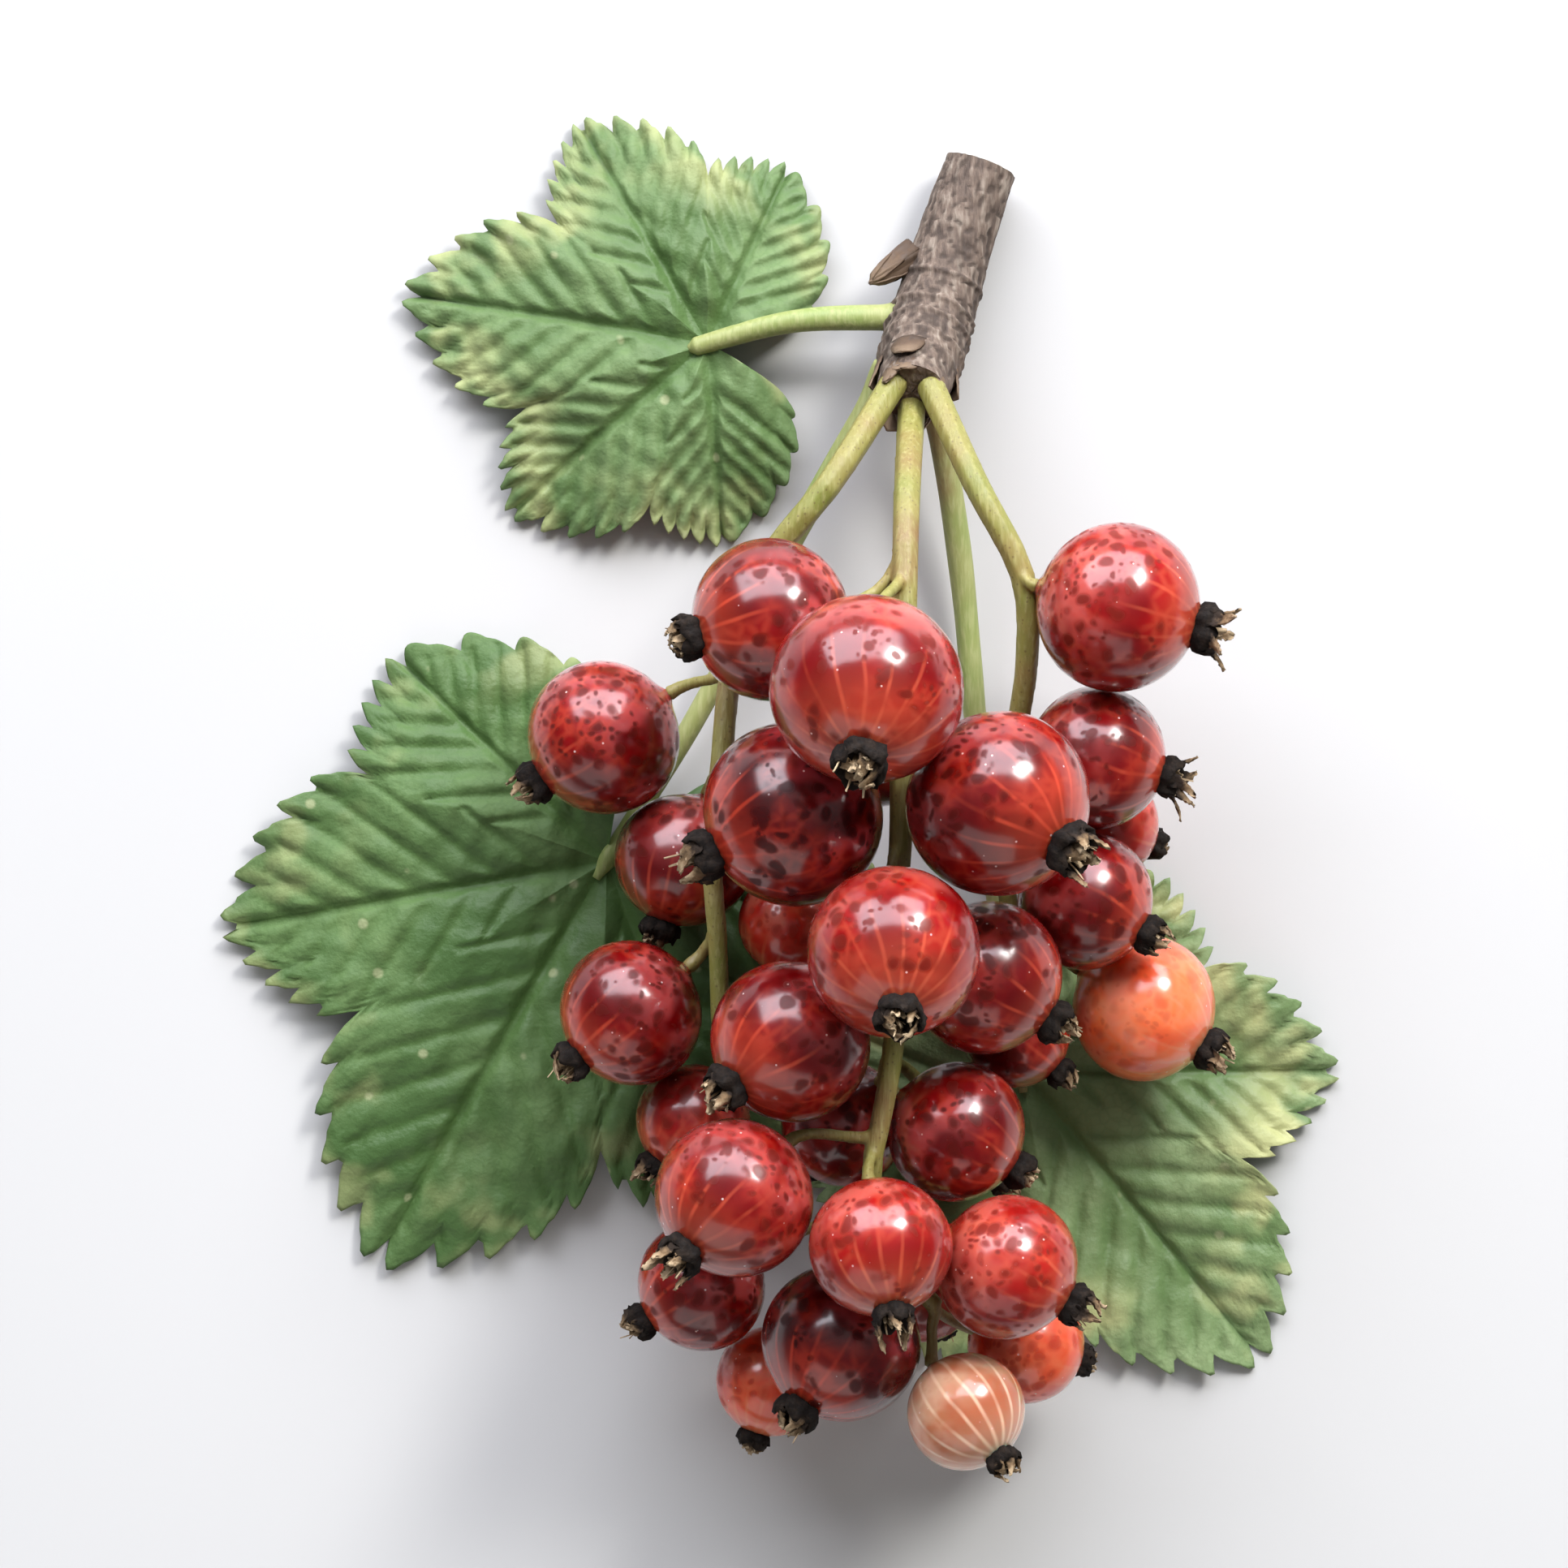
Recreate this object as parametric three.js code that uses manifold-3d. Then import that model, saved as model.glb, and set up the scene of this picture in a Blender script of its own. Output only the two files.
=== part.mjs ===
// A picked sprig of redcurrants, lying on a flat surface as it was cut.
// A short woody twig ends in a fruiting spur, which carries three strigs of berries and three leaves.
// A strig is a green fruit stalk: one rachis with a pedicel to each of its berries.
// Each berry is one solid with the withered flower still on its tip.
// Millimetres, +Z up. +Y runs from the berries' tips to the twig, and the origin is under the middle.
import * as THREE from "three";
import { mergeVertices } from "three/addons/utils/BufferGeometryUtils.js";
import Module from "manifold-3d";

const wasm = await Module();
wasm.setup();

const point = (x, y, z) => new THREE.Vector3(x, y, z);

// Driving dimensions, in millimetres
const BERRY_GAP = 0.15; // least space between two berries
const POLAR_SHARE = 0.96; // a berry is slightly shorter along its axis than it is wide
const FLOWER = { neck: 0.2, width: 0.25, length: 0.38 }; // withered flower, as shares of the berry's radius
const RACHIS = { top: 0.8, tip: 0.5 }; // radii where a strig leaves the spur and at its far end
const PEDICEL = { middle: 0.32, foot: 0.42, top: 0.46 }; // radii of the stalk of one berry
const PEDICEL_GAP = 0.15; // from the end of a pedicel to the skin of its berry
const STALK_CLEARANCE = 0.6; // from the middle line of a pedicel to the skin of the berries it passes
const TWIG = { cut: 2.2, spur: 2.6, tip: 2.1 }; // radii at its cut end, its swollen spur and the spur's end
const SPUR_GAP = 0.55; // from the spur's end to the stalks that grow from it
const LEAF_THICKNESS = 0.6;
const PETIOLE = { foot: 0.85, top: 0.6 }; // radii of a leaf's stalk
const STRIG_SPREAD = 1.15; // from the spur's axis to the foot of each strig

// How finely the round shapes are divided
const BERRY_SIDES = 10;
const BERRY_RINGS = 6;
const RACHIS_SIDES = 7;
const PEDICEL_SIDES = 5;
const PEDICEL_STEPS = 6;
const TWIG_SIDES = 12;
const TWIG_STEPS = 12;

// A berry's colour follows its ripeness, from 0, pale and unripe, to 1, deep red.
const PALE_RED = new THREE.Color(0xd98a5f);
const DEEP_RED = new THREE.Color(0x8a0d12);
const STALK_GREEN = 0x8f9a4e;
const LEAF_GREEN = 0x6f9a4c;
const BARK_BROWN = 0x6b5646;

// The middle line of the twig, from its cut end to the end of the spur.
const TWIG_LINE = [
  [5.6, 50.5, 2.3],
  [4.2, 46.5, 2.7],
  [3, 42.5, 3.6],
  [2.1, 39.4, 5.4],
  [1.5, 37.2, 7.8],
];
const SPUR_SHARE = 0.75; // share of the twig's length at which the spur is widest

// The berries of each strig: the middle of the fruit, its radius, the way its withered flower points,
// the share of the rachis's length at which its pedicel joins it, and its ripeness.
// A strig's seat is the turn, in degrees about the spur's axis, at which it stands on the spur's end.
const STRIGS = [
  {
    name: "main",
    seat: 90,
    rachis: [
      [0.9, 29.3, 14.8],
      [0.7, 22, 16.8],
      [0.6, 15.8, 16.7],
      [0.55, 11.3, 16.5],
      [0.1, 4.3, 15.8],
      [0.2, -0.3, 15.2],
      [-0.5, -4.6, 15.4],
      [-1, -7, 15.4],
      [-0.7, -11.4, 14],
      [2.6, -15.6, 13],
    ],
    berries: [
      { at: [-1.5, 19.2, 24.8], radius: 5.3, flower: [-0.08, -0.71, 0.7], joins: 0.24, ripeness: 0.85 },
      { at: [-5.5, 12.4, 17.7], radius: 5.2, flower: [-0.92, -0.42, 0.2], joins: 0.38, ripeness: 1 },
      { at: [5.8, 13, 20.4], radius: 5.2, flower: [0.69, -0.44, 0.57], joins: 0.36, ripeness: 0.9 },
      { at: [0.1, 4.8, 22.4], radius: 4.8, flower: [0.05, -0.65, 0.76], joins: 0.5, ripeness: 0.8 },
      { at: [-5.6, -0.3, 16.8], radius: 4.6, flower: [-0.74, -0.51, 0.43], joins: 0.6, ripeness: 0.95 },
      { at: [5.5, 3.4, 15.1], radius: 4.4, flower: [0.85, -0.55, 0.1], joins: 0.55, ripeness: 0.95 },
      { at: [3.7, -5.9, 13.3], radius: 4, flower: [0.85, -0.52, 0], joins: 0.7, ripeness: 0.95 },
      { at: [-8.7, -9, 18.1], radius: 4.5, flower: [-0.62, -0.62, 0.48], joins: 0.8, ripeness: 0.9 },
      { at: [-0.7, -11.6, 19.4], radius: 4, flower: [0.15, -0.85, 0.51], joins: 0.81, ripeness: 0.75 },
      { at: [6.4, -12.8, 15.6], radius: 4.1, flower: [0.87, -0.48, 0.1], joins: 0.88, ripeness: 0.7 },
      { at: [-2.6, -17.8, 12.5], radius: 4.6, flower: [-0.5, -0.75, 0.36], joins: 0.94, ripeness: 1 },
      { at: [-10.8, -14.9, 8.3], radius: 3.8, flower: [-0.85, -0.5, 0.05], joins: 0.86, ripeness: 0.9 },
      { at: [7.9, -18.3, 7.3], radius: 3.5, flower: [0.88, -0.3, -0.37], joins: 0.97, ripeness: 0.4 },
      { at: [4.1, -21.3, 14.2], radius: 3.4, flower: [0.55, -0.7, 0.45], joins: 1, ripeness: 0 },
      { at: [-6.7, -20.7, 6.1], radius: 3.3, flower: [-0.3, -0.9, 0.1], joins: 0.96, ripeness: 0.45 },
      { at: [-6.7, 23.2, 17.4], radius: 4.6, flower: [-0.93, -0.2, 0.25], joins: 0.2, ripeness: 0.9 },
      { at: [4.5, -6.3, 5.6], radius: 3.4, flower: [0.6, -0.7, 0], joins: 0.72, ripeness: 0.8 },
      { at: [2.1, -15.2, 5.5], radius: 3.4, flower: [0.3, -0.6, -0.5], joins: 0.92, ripeness: 0.7 },
      { at: [-2.4, -5.5, 8.8], radius: 3.7, flower: [-0.5, -0.6, -0.5], joins: 0.74, ripeness: 0.95 },
      { at: [-0.6, 16.5, 11.3], radius: 3.8, flower: [-0.2, -0.7, -0.6], joins: 0.3, ripeness: 0.95 },
    ],
  },
  {
    name: "right",
    seat: 330,
    rachis: [
      [4.9, 31.1, 12.6],
      [7.6, 25.6, 13],
      [7.8, 20.7, 11.8],
      [7.3, 16.9, 10.4],
      [7.2, 12.8, 9.2],
      [6.8, 8.2, 8.3],
      [7.7, 4.6, 7.2],
    ],
    berries: [
      { at: [12.8, 23.5, 14.4], radius: 4.8, flower: [0.95, -0.25, 0.15], joins: 0.35, ripeness: 0.8 },
      { at: [11.8, 15.5, 11.8], radius: 4.1, flower: [0.95, -0.25, 0.1], joins: 0.6, ripeness: 0.85 },
      { at: [11.2, 7.6, 10.6], radius: 4, flower: [0.85, -0.45, 0.25], joins: 0.82, ripeness: 0.85 },
      { at: [14.6, 1.3, 6.6], radius: 4.3, flower: [0.82, -0.5, 0.2], joins: 0.95, ripeness: 0.3 },
      { at: [7.6, -0.4, 7.6], radius: 3.2, flower: [0.7, -0.6, 0.1], joins: 1, ripeness: 0.8 },
      { at: [12.8, 11.6, 4.9], radius: 3.2, flower: [0.8, -0.3, -0.3], joins: 0.72, ripeness: 0.6 },
    ],
  },
  {
    name: "left",
    seat: 210,
    rachis: [
      [-3.4, 31.2, 12.4],
      [-7.3, 26.2, 11.4],
      [-9, 20.7, 11.4],
      [-9.6, 15.2, 12.2],
      [-10.1, 9.8, 12.3],
      [-9.8, 4.9, 11.2],
      [-9.7, 0.3, 9.8],
    ],
    berries: [
      { at: [-16.3, 16.6, 8.3], radius: 4.5, flower: [-0.83, -0.55, 0], joins: 0.5, ripeness: 0.9 },
      { at: [-11.9, 9.8, 6.9], radius: 4, flower: [-0.3, -0.85, 0.1], joins: 0.62, ripeness: 0.9 },
      { at: [-14.8, 0.9, 9.6], radius: 4.2, flower: [-0.75, -0.6, 0.2], joins: 0.8, ripeness: 0.9 },
      { at: [-11.3, -5.5, 6.6], radius: 3.4, flower: [-0.6, -0.65, 0.2], joins: 1, ripeness: 0.75 },
      { at: [-5.5, 6, 7.2], radius: 3.2, flower: [-0.3, -0.8, -0.3], joins: 0.74, ripeness: 0.5 },
    ],
  },
];

// The leaves: where the petiole meets the blade, the way the midrib runs (degrees from +X), its length,
// how far the middle of the blade arches up, and the points that the petiole follows from the spur.
const LEAVES = [
  {
    name: "leaf_left",
    base: [-16.5, 9.5, 1.6],
    heading: 240,
    length: 27,
    arch: 0.9,
    petiole: [
      [-1.2, 37.7, 5.8],
      [-5.5, 28.5, 4],
      [-11.5, 17.5, 2.2],
    ],
  },
  {
    name: "leaf_right",
    base: [8, -3, 1.3],
    heading: 310,
    length: 22,
    arch: 0.3,
    petiole: [
      [3.2, 36.6, 4.5],
      [4.4, 27, 2.6],
      [5.8, 13, 1.6],
    ],
  },
  {
    name: "leaf_upper",
    base: [-10.5, 40, 3],
    heading: 170,
    length: 18,
    arch: 1,
    petiole: [
      [-0.55, 41.3, 4.2],
      [-5.5, 41.2, 3.9],
    ],
  },
];

// One side of a leaf's outline, from its tip round to the sinus at the petiole:
// the angle from the midrib in degrees, and the share of the midrib's length. Tips and sinuses alternate.
const OUTLINE = [
  [0, 1],
  [29, 0.64],
  [50, 0.84],
  [80, 0.58],
  [104, 0.64],
  [160, 0.24],
];
const LOBE_POINTEDNESS = 0.66; // under 1, lobes are blunt and the gaps between them narrow
const TEETH = 24;
const TOOTH_DEPTH = 0.06; // as a share of the reach
const LEAF_RINGS = 3;
const LOBE_LIFT = 1.3; // how far the margin lifts off the surface between two lobes

// Solids

function solidOf(geometry) {
  const bare = geometry.clone();
  bare.deleteAttribute("normal");
  bare.deleteAttribute("uv");
  const merged = mergeVertices(bare, 1e-4);
  return new wasm.Manifold(
    new wasm.Mesh({
      numProp: 3,
      vertProperties: merged.getAttribute("position").array,
      triVerts: new Uint32Array(merged.index.array),
    }),
  );
}

function joined(geometries) {
  const { vertProperties, triVerts } = geometries
    .map(solidOf)
    .reduce((whole, next) => whole.add(next))
    .getMesh();
  return indexedGeometry(vertProperties, triVerts);
}

function indexedGeometry(positions, triangles) {
  const geometry = new THREE.BufferGeometry();
  geometry.setAttribute("position", new THREE.Float32BufferAttribute(positions, 3));
  geometry.setIndex(new THREE.Uint32BufferAttribute(triangles, 1));
  geometry.computeVertexNormals();
  return geometry;
}

// A tube along a curve, closed at both ends, whose radius follows the share of the curve's length.
function taperedTube(curve, radiusAt, sides, steps) {
  const { normals, binormals } = curve.computeFrenetFrames(steps);
  const positions = [];
  const triangles = [];
  for (let step = 0; step <= steps; step++) {
    const middle = curve.getPointAt(step / steps);
    const radius = radiusAt(step / steps);
    for (let side = 0; side < sides; side++) {
      const turn = (2 * Math.PI * side) / sides;
      const rim = middle
        .clone()
        .addScaledVector(normals[step], radius * Math.cos(turn))
        .addScaledVector(binormals[step], radius * Math.sin(turn));
      positions.push(...rim);
    }
  }
  const corner = (step, side) => step * sides + (side % sides);
  for (let step = 0; step < steps; step++) {
    for (let side = 0; side < sides; side++) {
      const [a, b] = [corner(step, side), corner(step, side + 1)];
      const [c, d] = [corner(step + 1, side), corner(step + 1, side + 1)];
      triangles.push(a, b, d, a, d, c);
    }
  }
  for (let side = 1; side < sides - 1; side++) {
    triangles.push(corner(0, 0), corner(0, side + 1), corner(0, side));
    triangles.push(corner(steps, 0), corner(steps, side), corner(steps, side + 1));
  }
  return indexedGeometry(positions, triangles);
}

const between = (from, to, share) => from + (to - from) * share;

const smoothCurve = (places) => new THREE.CatmullRomCurve3(places.map((place) => point(...place)));

function meshOf(name, geometry, color, roughness) {
  const material = new THREE.MeshStandardMaterial({ color, roughness, metalness: 0 });
  const mesh = new THREE.Mesh(geometry, material);
  mesh.name = name;
  return mesh;
}

// Berries

// Moves overlapping berries apart until each pair keeps BERRY_GAP, so that the fruit only touch.
function spreadApart(berries) {
  const rounds = 60;
  for (let round = 0; round < rounds; round++) {
    berries.forEach((one, i) => {
      berries.slice(i + 1).forEach((other) => {
        const apart = other.centre.clone().sub(one.centre);
        const lacking = one.radius + other.radius + BERRY_GAP - apart.length();
        if (lacking <= 0) return;
        apart.setLength(lacking / 2);
        other.centre.add(apart);
        one.centre.sub(apart);
      });
    });
  }
}

// The profile runs up the berry's axis, from the pedicel to the tip of the withered flower.
function berryGeometry(radius) {
  const polar = radius * POLAR_SHARE;
  const shoulder = Math.acos(FLOWER.neck);
  const profile = [new THREE.Vector2(0, -polar)];
  for (let ring = 1; ring <= BERRY_RINGS; ring++) {
    const rise = between(-Math.PI / 2, shoulder, ring / BERRY_RINGS);
    profile.push(new THREE.Vector2(radius * Math.cos(rise), polar * Math.sin(rise)));
  }
  const tip = polar + FLOWER.length * radius;
  profile.push(new THREE.Vector2(FLOWER.width * radius, (polar + tip) / 2));
  profile.push(new THREE.Vector2(FLOWER.width * radius * 0.6, tip));
  profile.push(new THREE.Vector2(0, tip));
  return new THREE.LatheGeometry(profile, BERRY_SIDES);
}

function berryMesh(berry) {
  const color = PALE_RED.clone().lerp(DEEP_RED, berry.ripeness);
  const mesh = meshOf(berry.name, berryGeometry(berry.radius), color, 0.2);
  mesh.quaternion.setFromUnitVectors(point(0, 1, 0), berry.flower);
  mesh.position.copy(berry.centre);
  return mesh;
}

// Strigs

// The middle line of a pedicel, from the rachis to the foot of its berry, kept clear of the other berries.
function pedicelCurve(berry, rachis, berries) {
  const start = rachis.getPointAt(berry.joins);
  const foot = berry.radius * POLAR_SHARE + PEDICEL_GAP;
  const end = berry.centre.clone().addScaledVector(berry.flower, -foot);
  const reach = start.distanceTo(end);
  const before = end.clone().addScaledVector(berry.flower, -0.4 * reach);
  const along = rachis.getTangentAt(berry.joins);
  const after = start.clone().lerp(before, 0.4).addScaledVector(along, 0.15 * reach);
  const line = new THREE.CubicBezierCurve3(start, after, before, end).getSpacedPoints(PEDICEL_STEPS);
  const pushes = 12;
  for (let push = 0; push < pushes; push++) {
    line.slice(1, -1).forEach((place) => {
      berries.forEach((near) => {
        const away = place.clone().sub(near.centre);
        const lacking = near.radius + STALK_CLEARANCE - away.length();
        if (lacking > 0) place.add(away.setLength(lacking));
      });
    });
  }
  return new THREE.CatmullRomCurve3(line);
}

function pedicelRadius(share) {
  const end = share < 0.5 ? PEDICEL.foot : PEDICEL.top;
  return between(PEDICEL.middle, end, Math.abs(2 * share - 1) ** 3);
}

function strigGeometry(rachis, berries, allBerries) {
  const radiusAt = (share) => between(RACHIS.top, RACHIS.tip, share);
  const stalks = [taperedTube(rachis, radiusAt, RACHIS_SIDES, 3 * rachis.points.length)];
  berries.forEach((berry) => {
    const curve = pedicelCurve(berry, rachis, allBerries);
    stalks.push(taperedTube(curve, pedicelRadius, PEDICEL_SIDES, PEDICEL_STEPS));
  });
  return joined(stalks);
}

// Leaves

// The stretch of the outline that an angle from the midrib falls in: the reach of its lobe's tip and of
// its sinus, as shares of the midrib's length, and how near the angle is to the tip, from 0 to 1.
function outlineStretch(degrees) {
  const angle = Math.abs(degrees);
  const next = Math.max(1, OUTLINE.findIndex(([limit]) => angle <= limit));
  const [[fromAngle, fromReach], [toAngle, toReach]] = [OUTLINE[next - 1], OUTLINE[next]];
  const share = (angle - fromAngle) / (toAngle - fromAngle);
  return {
    tip: Math.max(fromReach, toReach),
    sinus: Math.min(fromReach, toReach),
    nearTip: fromReach > toReach ? 1 - share : share,
  };
}

function reachAt(degrees) {
  const { tip, sinus, nearTip } = outlineStretch(degrees);
  return between(sinus, tip, nearTip ** LOBE_POINTEDNESS);
}

function bladeGeometry(leaf) {
  const widest = OUTLINE.at(-1)[0];
  const spokes = 2 * TEETH;
  const half = LEAF_THICKNESS / 2;
  const [x, y, height] = leaf.base;
  const positions = [];
  const triangles = [];
  const corner = (side, spoke, ring) => 2 + side * (spokes + 1) * LEAF_RINGS + spoke * LEAF_RINGS + ring - 1;
  const heightAt = (ring, degrees) => {
    const share = ring / LEAF_RINGS;
    const margin = half + LOBE_LIFT * (1 - outlineStretch(degrees).nearTip);
    return between(height, margin, share) + leaf.arch * 4 * share * (1 - share);
  };
  positions.push(x, y, height + half, x, y, height - half);
  [1, -1].forEach((face) => {
    for (let spoke = 0; spoke <= spokes; spoke++) {
      const degrees = between(-widest, widest, spoke / spokes);
      const heading = THREE.MathUtils.degToRad(leaf.heading + degrees);
      const tooth = spoke % 2 ? 1 : 1 - TOOTH_DEPTH;
      for (let ring = 1; ring <= LEAF_RINGS; ring++) {
        const reach = (leaf.length * reachAt(degrees) * tooth * ring) / LEAF_RINGS;
        positions.push(x + reach * Math.cos(heading), y + reach * Math.sin(heading));
        positions.push(heightAt(ring, degrees) + face * half);
      }
    }
  });
  const quad = (a, b, c, d) => triangles.push(a, b, c, a, c, d);
  for (let spoke = 0; spoke < spokes; spoke++) {
    triangles.push(0, corner(0, spoke, 1), corner(0, spoke + 1, 1));
    triangles.push(1, corner(1, spoke + 1, 1), corner(1, spoke, 1));
    for (let ring = 1; ring < LEAF_RINGS; ring++) {
      const place = (side, s, r) => corner(side, spoke + s, ring + r);
      quad(place(0, 0, 0), place(0, 0, 1), place(0, 1, 1), place(0, 1, 0));
      quad(place(1, 0, 0), place(1, 1, 0), place(1, 1, 1), place(1, 0, 1));
    }
    const rim = (side, s) => corner(side, spoke + s, LEAF_RINGS);
    quad(rim(0, 0), rim(1, 0), rim(1, 1), rim(0, 1));
  }
  [0, spokes].forEach((spoke) => {
    const path = [[0, 1]];
    for (let ring = 1; ring <= LEAF_RINGS; ring++) {
      path.push([corner(0, spoke, ring), corner(1, spoke, ring)]);
    }
    for (let step = 0; step < LEAF_RINGS; step++) {
      const [[a, b], [c, d]] = [path[step], path[step + 1]];
      if (spoke === 0) quad(a, b, d, c);
      else quad(a, c, d, b);
    }
  });
  return indexedGeometry(positions, triangles);
}

function leafMesh(leaf) {
  const line = smoothCurve([...leaf.petiole, leaf.base]);
  const radiusAt = (share) => between(PETIOLE.foot, PETIOLE.top, share);
  const petiole = taperedTube(line, radiusAt, RACHIS_SIDES, 4 * line.points.length);
  return meshOf(leaf.name, joined([petiole, bladeGeometry(leaf)]), LEAF_GREEN, 0.6);
}

// Twig

const twigCurve = smoothCurve(TWIG_LINE);

function twigMesh() {
  const radiusAt = (share) => {
    if (share < SPUR_SHARE) return between(TWIG.cut, TWIG.spur, share / SPUR_SHARE);
    return between(TWIG.spur, TWIG.tip, (share - SPUR_SHARE) / (1 - SPUR_SHARE));
  };
  return meshOf("twig", taperedTube(twigCurve, radiusAt, TWIG_SIDES, TWIG_STEPS), BARK_BROWN, 0.85);
}

// The foot of a strig: just off the spur's end, at a turn about its axis from the side that faces +X.
function strigSeat(degrees) {
  const turn = THREE.MathUtils.degToRad(degrees);
  const axis = twigCurve.getTangentAt(1);
  const side = point(1, 0, 0).addScaledVector(axis, -axis.x).normalize();
  const up = axis.clone().cross(side).multiplyScalar(-1);
  return twigCurve
    .getPointAt(1)
    .addScaledVector(axis, SPUR_GAP)
    .addScaledVector(side, STRIG_SPREAD * Math.cos(turn))
    .addScaledVector(up, STRIG_SPREAD * Math.sin(turn));
}

// The whole sprig

function buildSprig() {
  const strigs = STRIGS.map((strig) => ({
    name: strig.name,
    rachis: smoothCurve([strigSeat(strig.seat), ...strig.rachis]),
    berries: strig.berries.map((berry, index) => ({
      ...berry,
      name: `${strig.name}_berry_${String(index + 1).padStart(2, "0")}`,
      centre: point(...berry.at),
      flower: point(...berry.flower).normalize(),
    })),
  }));
  const berries = strigs.flatMap((strig) => strig.berries);
  spreadApart(berries);

  const sprig = new THREE.Group();
  const laid = new THREE.Group();
  sprig.add(laid);
  laid.add(twigMesh());
  LEAVES.forEach((leaf) => laid.add(leafMesh(leaf)));
  strigs.forEach((strig) => {
    const geometry = strigGeometry(strig.rachis, strig.berries, berries);
    laid.add(meshOf(`strig_${strig.name}`, geometry, STALK_GREEN, 0.5));
    strig.berries.forEach((berry) => laid.add(berryMesh(berry)));
  });

  const box = new THREE.Box3().setFromObject(laid, true);
  const middle = box.getCenter(point(0, 0, 0));
  laid.position.set(-middle.x, -middle.y, -box.min.z);
  return sprig;
}

export default buildSprig();
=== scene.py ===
import math

import bmesh
import bpy
import numpy as np
from mathutils import Matrix, Vector, noise


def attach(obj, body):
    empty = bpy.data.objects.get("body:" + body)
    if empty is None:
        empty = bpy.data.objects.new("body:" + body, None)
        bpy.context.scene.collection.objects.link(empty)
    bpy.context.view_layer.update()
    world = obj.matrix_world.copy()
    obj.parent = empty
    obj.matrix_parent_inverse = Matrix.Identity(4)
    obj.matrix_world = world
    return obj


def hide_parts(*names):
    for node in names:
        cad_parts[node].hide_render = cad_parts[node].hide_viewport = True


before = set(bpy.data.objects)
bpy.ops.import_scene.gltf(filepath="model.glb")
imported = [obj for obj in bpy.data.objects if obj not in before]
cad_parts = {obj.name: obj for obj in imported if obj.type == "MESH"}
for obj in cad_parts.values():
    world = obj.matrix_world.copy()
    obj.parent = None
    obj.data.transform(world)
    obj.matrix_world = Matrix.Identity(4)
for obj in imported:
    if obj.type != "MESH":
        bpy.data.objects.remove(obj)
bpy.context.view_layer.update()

MM = 0.001
SHIFT = np.array([6.0135, -14.0695, 0.0])  # from the drawing's origin to the middle under the sprig

FLOOR_GAP = 0.02  # no leaf or twig goes lower
ABOUT_A_TURN = 6.28
ASIDE = (0.31, 0.22, 0.93)  # a direction that no line here runs along
UP = np.array([0.0, 0.0, 1.0])

# Berries: shares are of a berry's own radius
BERRY_SIDES = 64
BERRY_RINGS = 44
BERRY_SEED = 100
POLAR_SHARE = 0.96
UNEVENNESS = 0.008
RIBS = 11
RIB_HEIGHT = 0.003
NUB = {"height": 0.3, "width": 0.55}  # in millimetres
FLOWER_RISE = {"height": 0.02, "width": 0.24}  # the width is in radians
VEIN_PAIRS = 9.0

# Withered flowers: the cup's profile gives shares of the flower's width, heights and dryness
FLOWER = {"width": 0.27, "length": 0.4}
CAD_FLOWER_LENGTH = 0.38
CUP_SIDES = 40
CUP_PROFILE = [
    (0.72, -0.07, 0.0), (0.98, 0.0, 0.0), (1.06, 0.06, 0.02), (1.08, 0.12, 0.05), (0.98, 0.19, 0.12),
    (0.86, 0.21, 0.15), (0.74, 0.17, 0.12), (0.62, 0.09, 0.1), (0.4, 0.04, 0.1), (0.1, 0.03, 0.1),
]
FLAKE_SIDES = 12
SEPALS = 5
SEPAL_STEPS = 9
BITS = {"all": 11, "thin": 4, "long": 2}
BIT_STEPS = 7
THREAD_STEPS = 16
THREAD_RADIUS = 0.055
SPLAYED = ("right_berry_01", "right_berry_02")  # berries whose sepals spread wide
WIDE_SPLAY = 0.85
THREADED = "main_berry_01"  # the berry with one long, dry stamen

# How ripe a berry is: 0 is pale and striped, 0.3 orange, 0.75 red and 1 dark red
RIPENESS = {
    "main_berry_01": 0.8, "main_berry_02": 1.0, "main_berry_03": 0.92, "main_berry_04": 0.78,
    "main_berry_06": 0.9, "main_berry_08": 0.85, "main_berry_09": 0.72, "main_berry_10": 0.7,
    "main_berry_11": 1.0, "main_berry_13": 0.42, "main_berry_14": 0.0, "main_berry_15": 0.45,
    "main_berry_18": 0.7, "right_berry_01": 0.78, "right_berry_04": 0.3, "right_berry_06": 0.6,
    "left_berry_04": 0.75, "left_berry_05": 0.5,
}
USUAL_RIPENESS = 0.9

# Leaves, as the frame's own leaves are laid out
LEAVES = {
    "leaf_left": {
        "base": (-16.5, 9.5, 1.6), "heading": 240, "length": 27, "arch": 0.9, "tone": 0.2,
        "petiole": [(-1.2, 37.7, 5.8), (-5.5, 28.5, 4), (-11.5, 17.5, 2.2)], "joins": (1.9, 38.7, 6.2),
    },
    "leaf_right": {
        "base": (8, -3, 1.3), "heading": 310, "length": 22, "arch": 0.3, "tone": 0.9,
        "petiole": [(3.2, 36.6, 4.5), (4.4, 27, 2.6), (5.8, 13, 1.6)], "joins": (2.1, 39.2, 5.6),
    },
    "leaf_upper": {
        "base": (-10.5, 40, 3), "heading": 170, "length": 18, "arch": 1, "tone": 0.5,
        "petiole": [(-0.55, 41.3, 4.2), (-5.5, 41.2, 3.9)], "joins": (2.8, 41.6, 4.2),
    },
}
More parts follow.
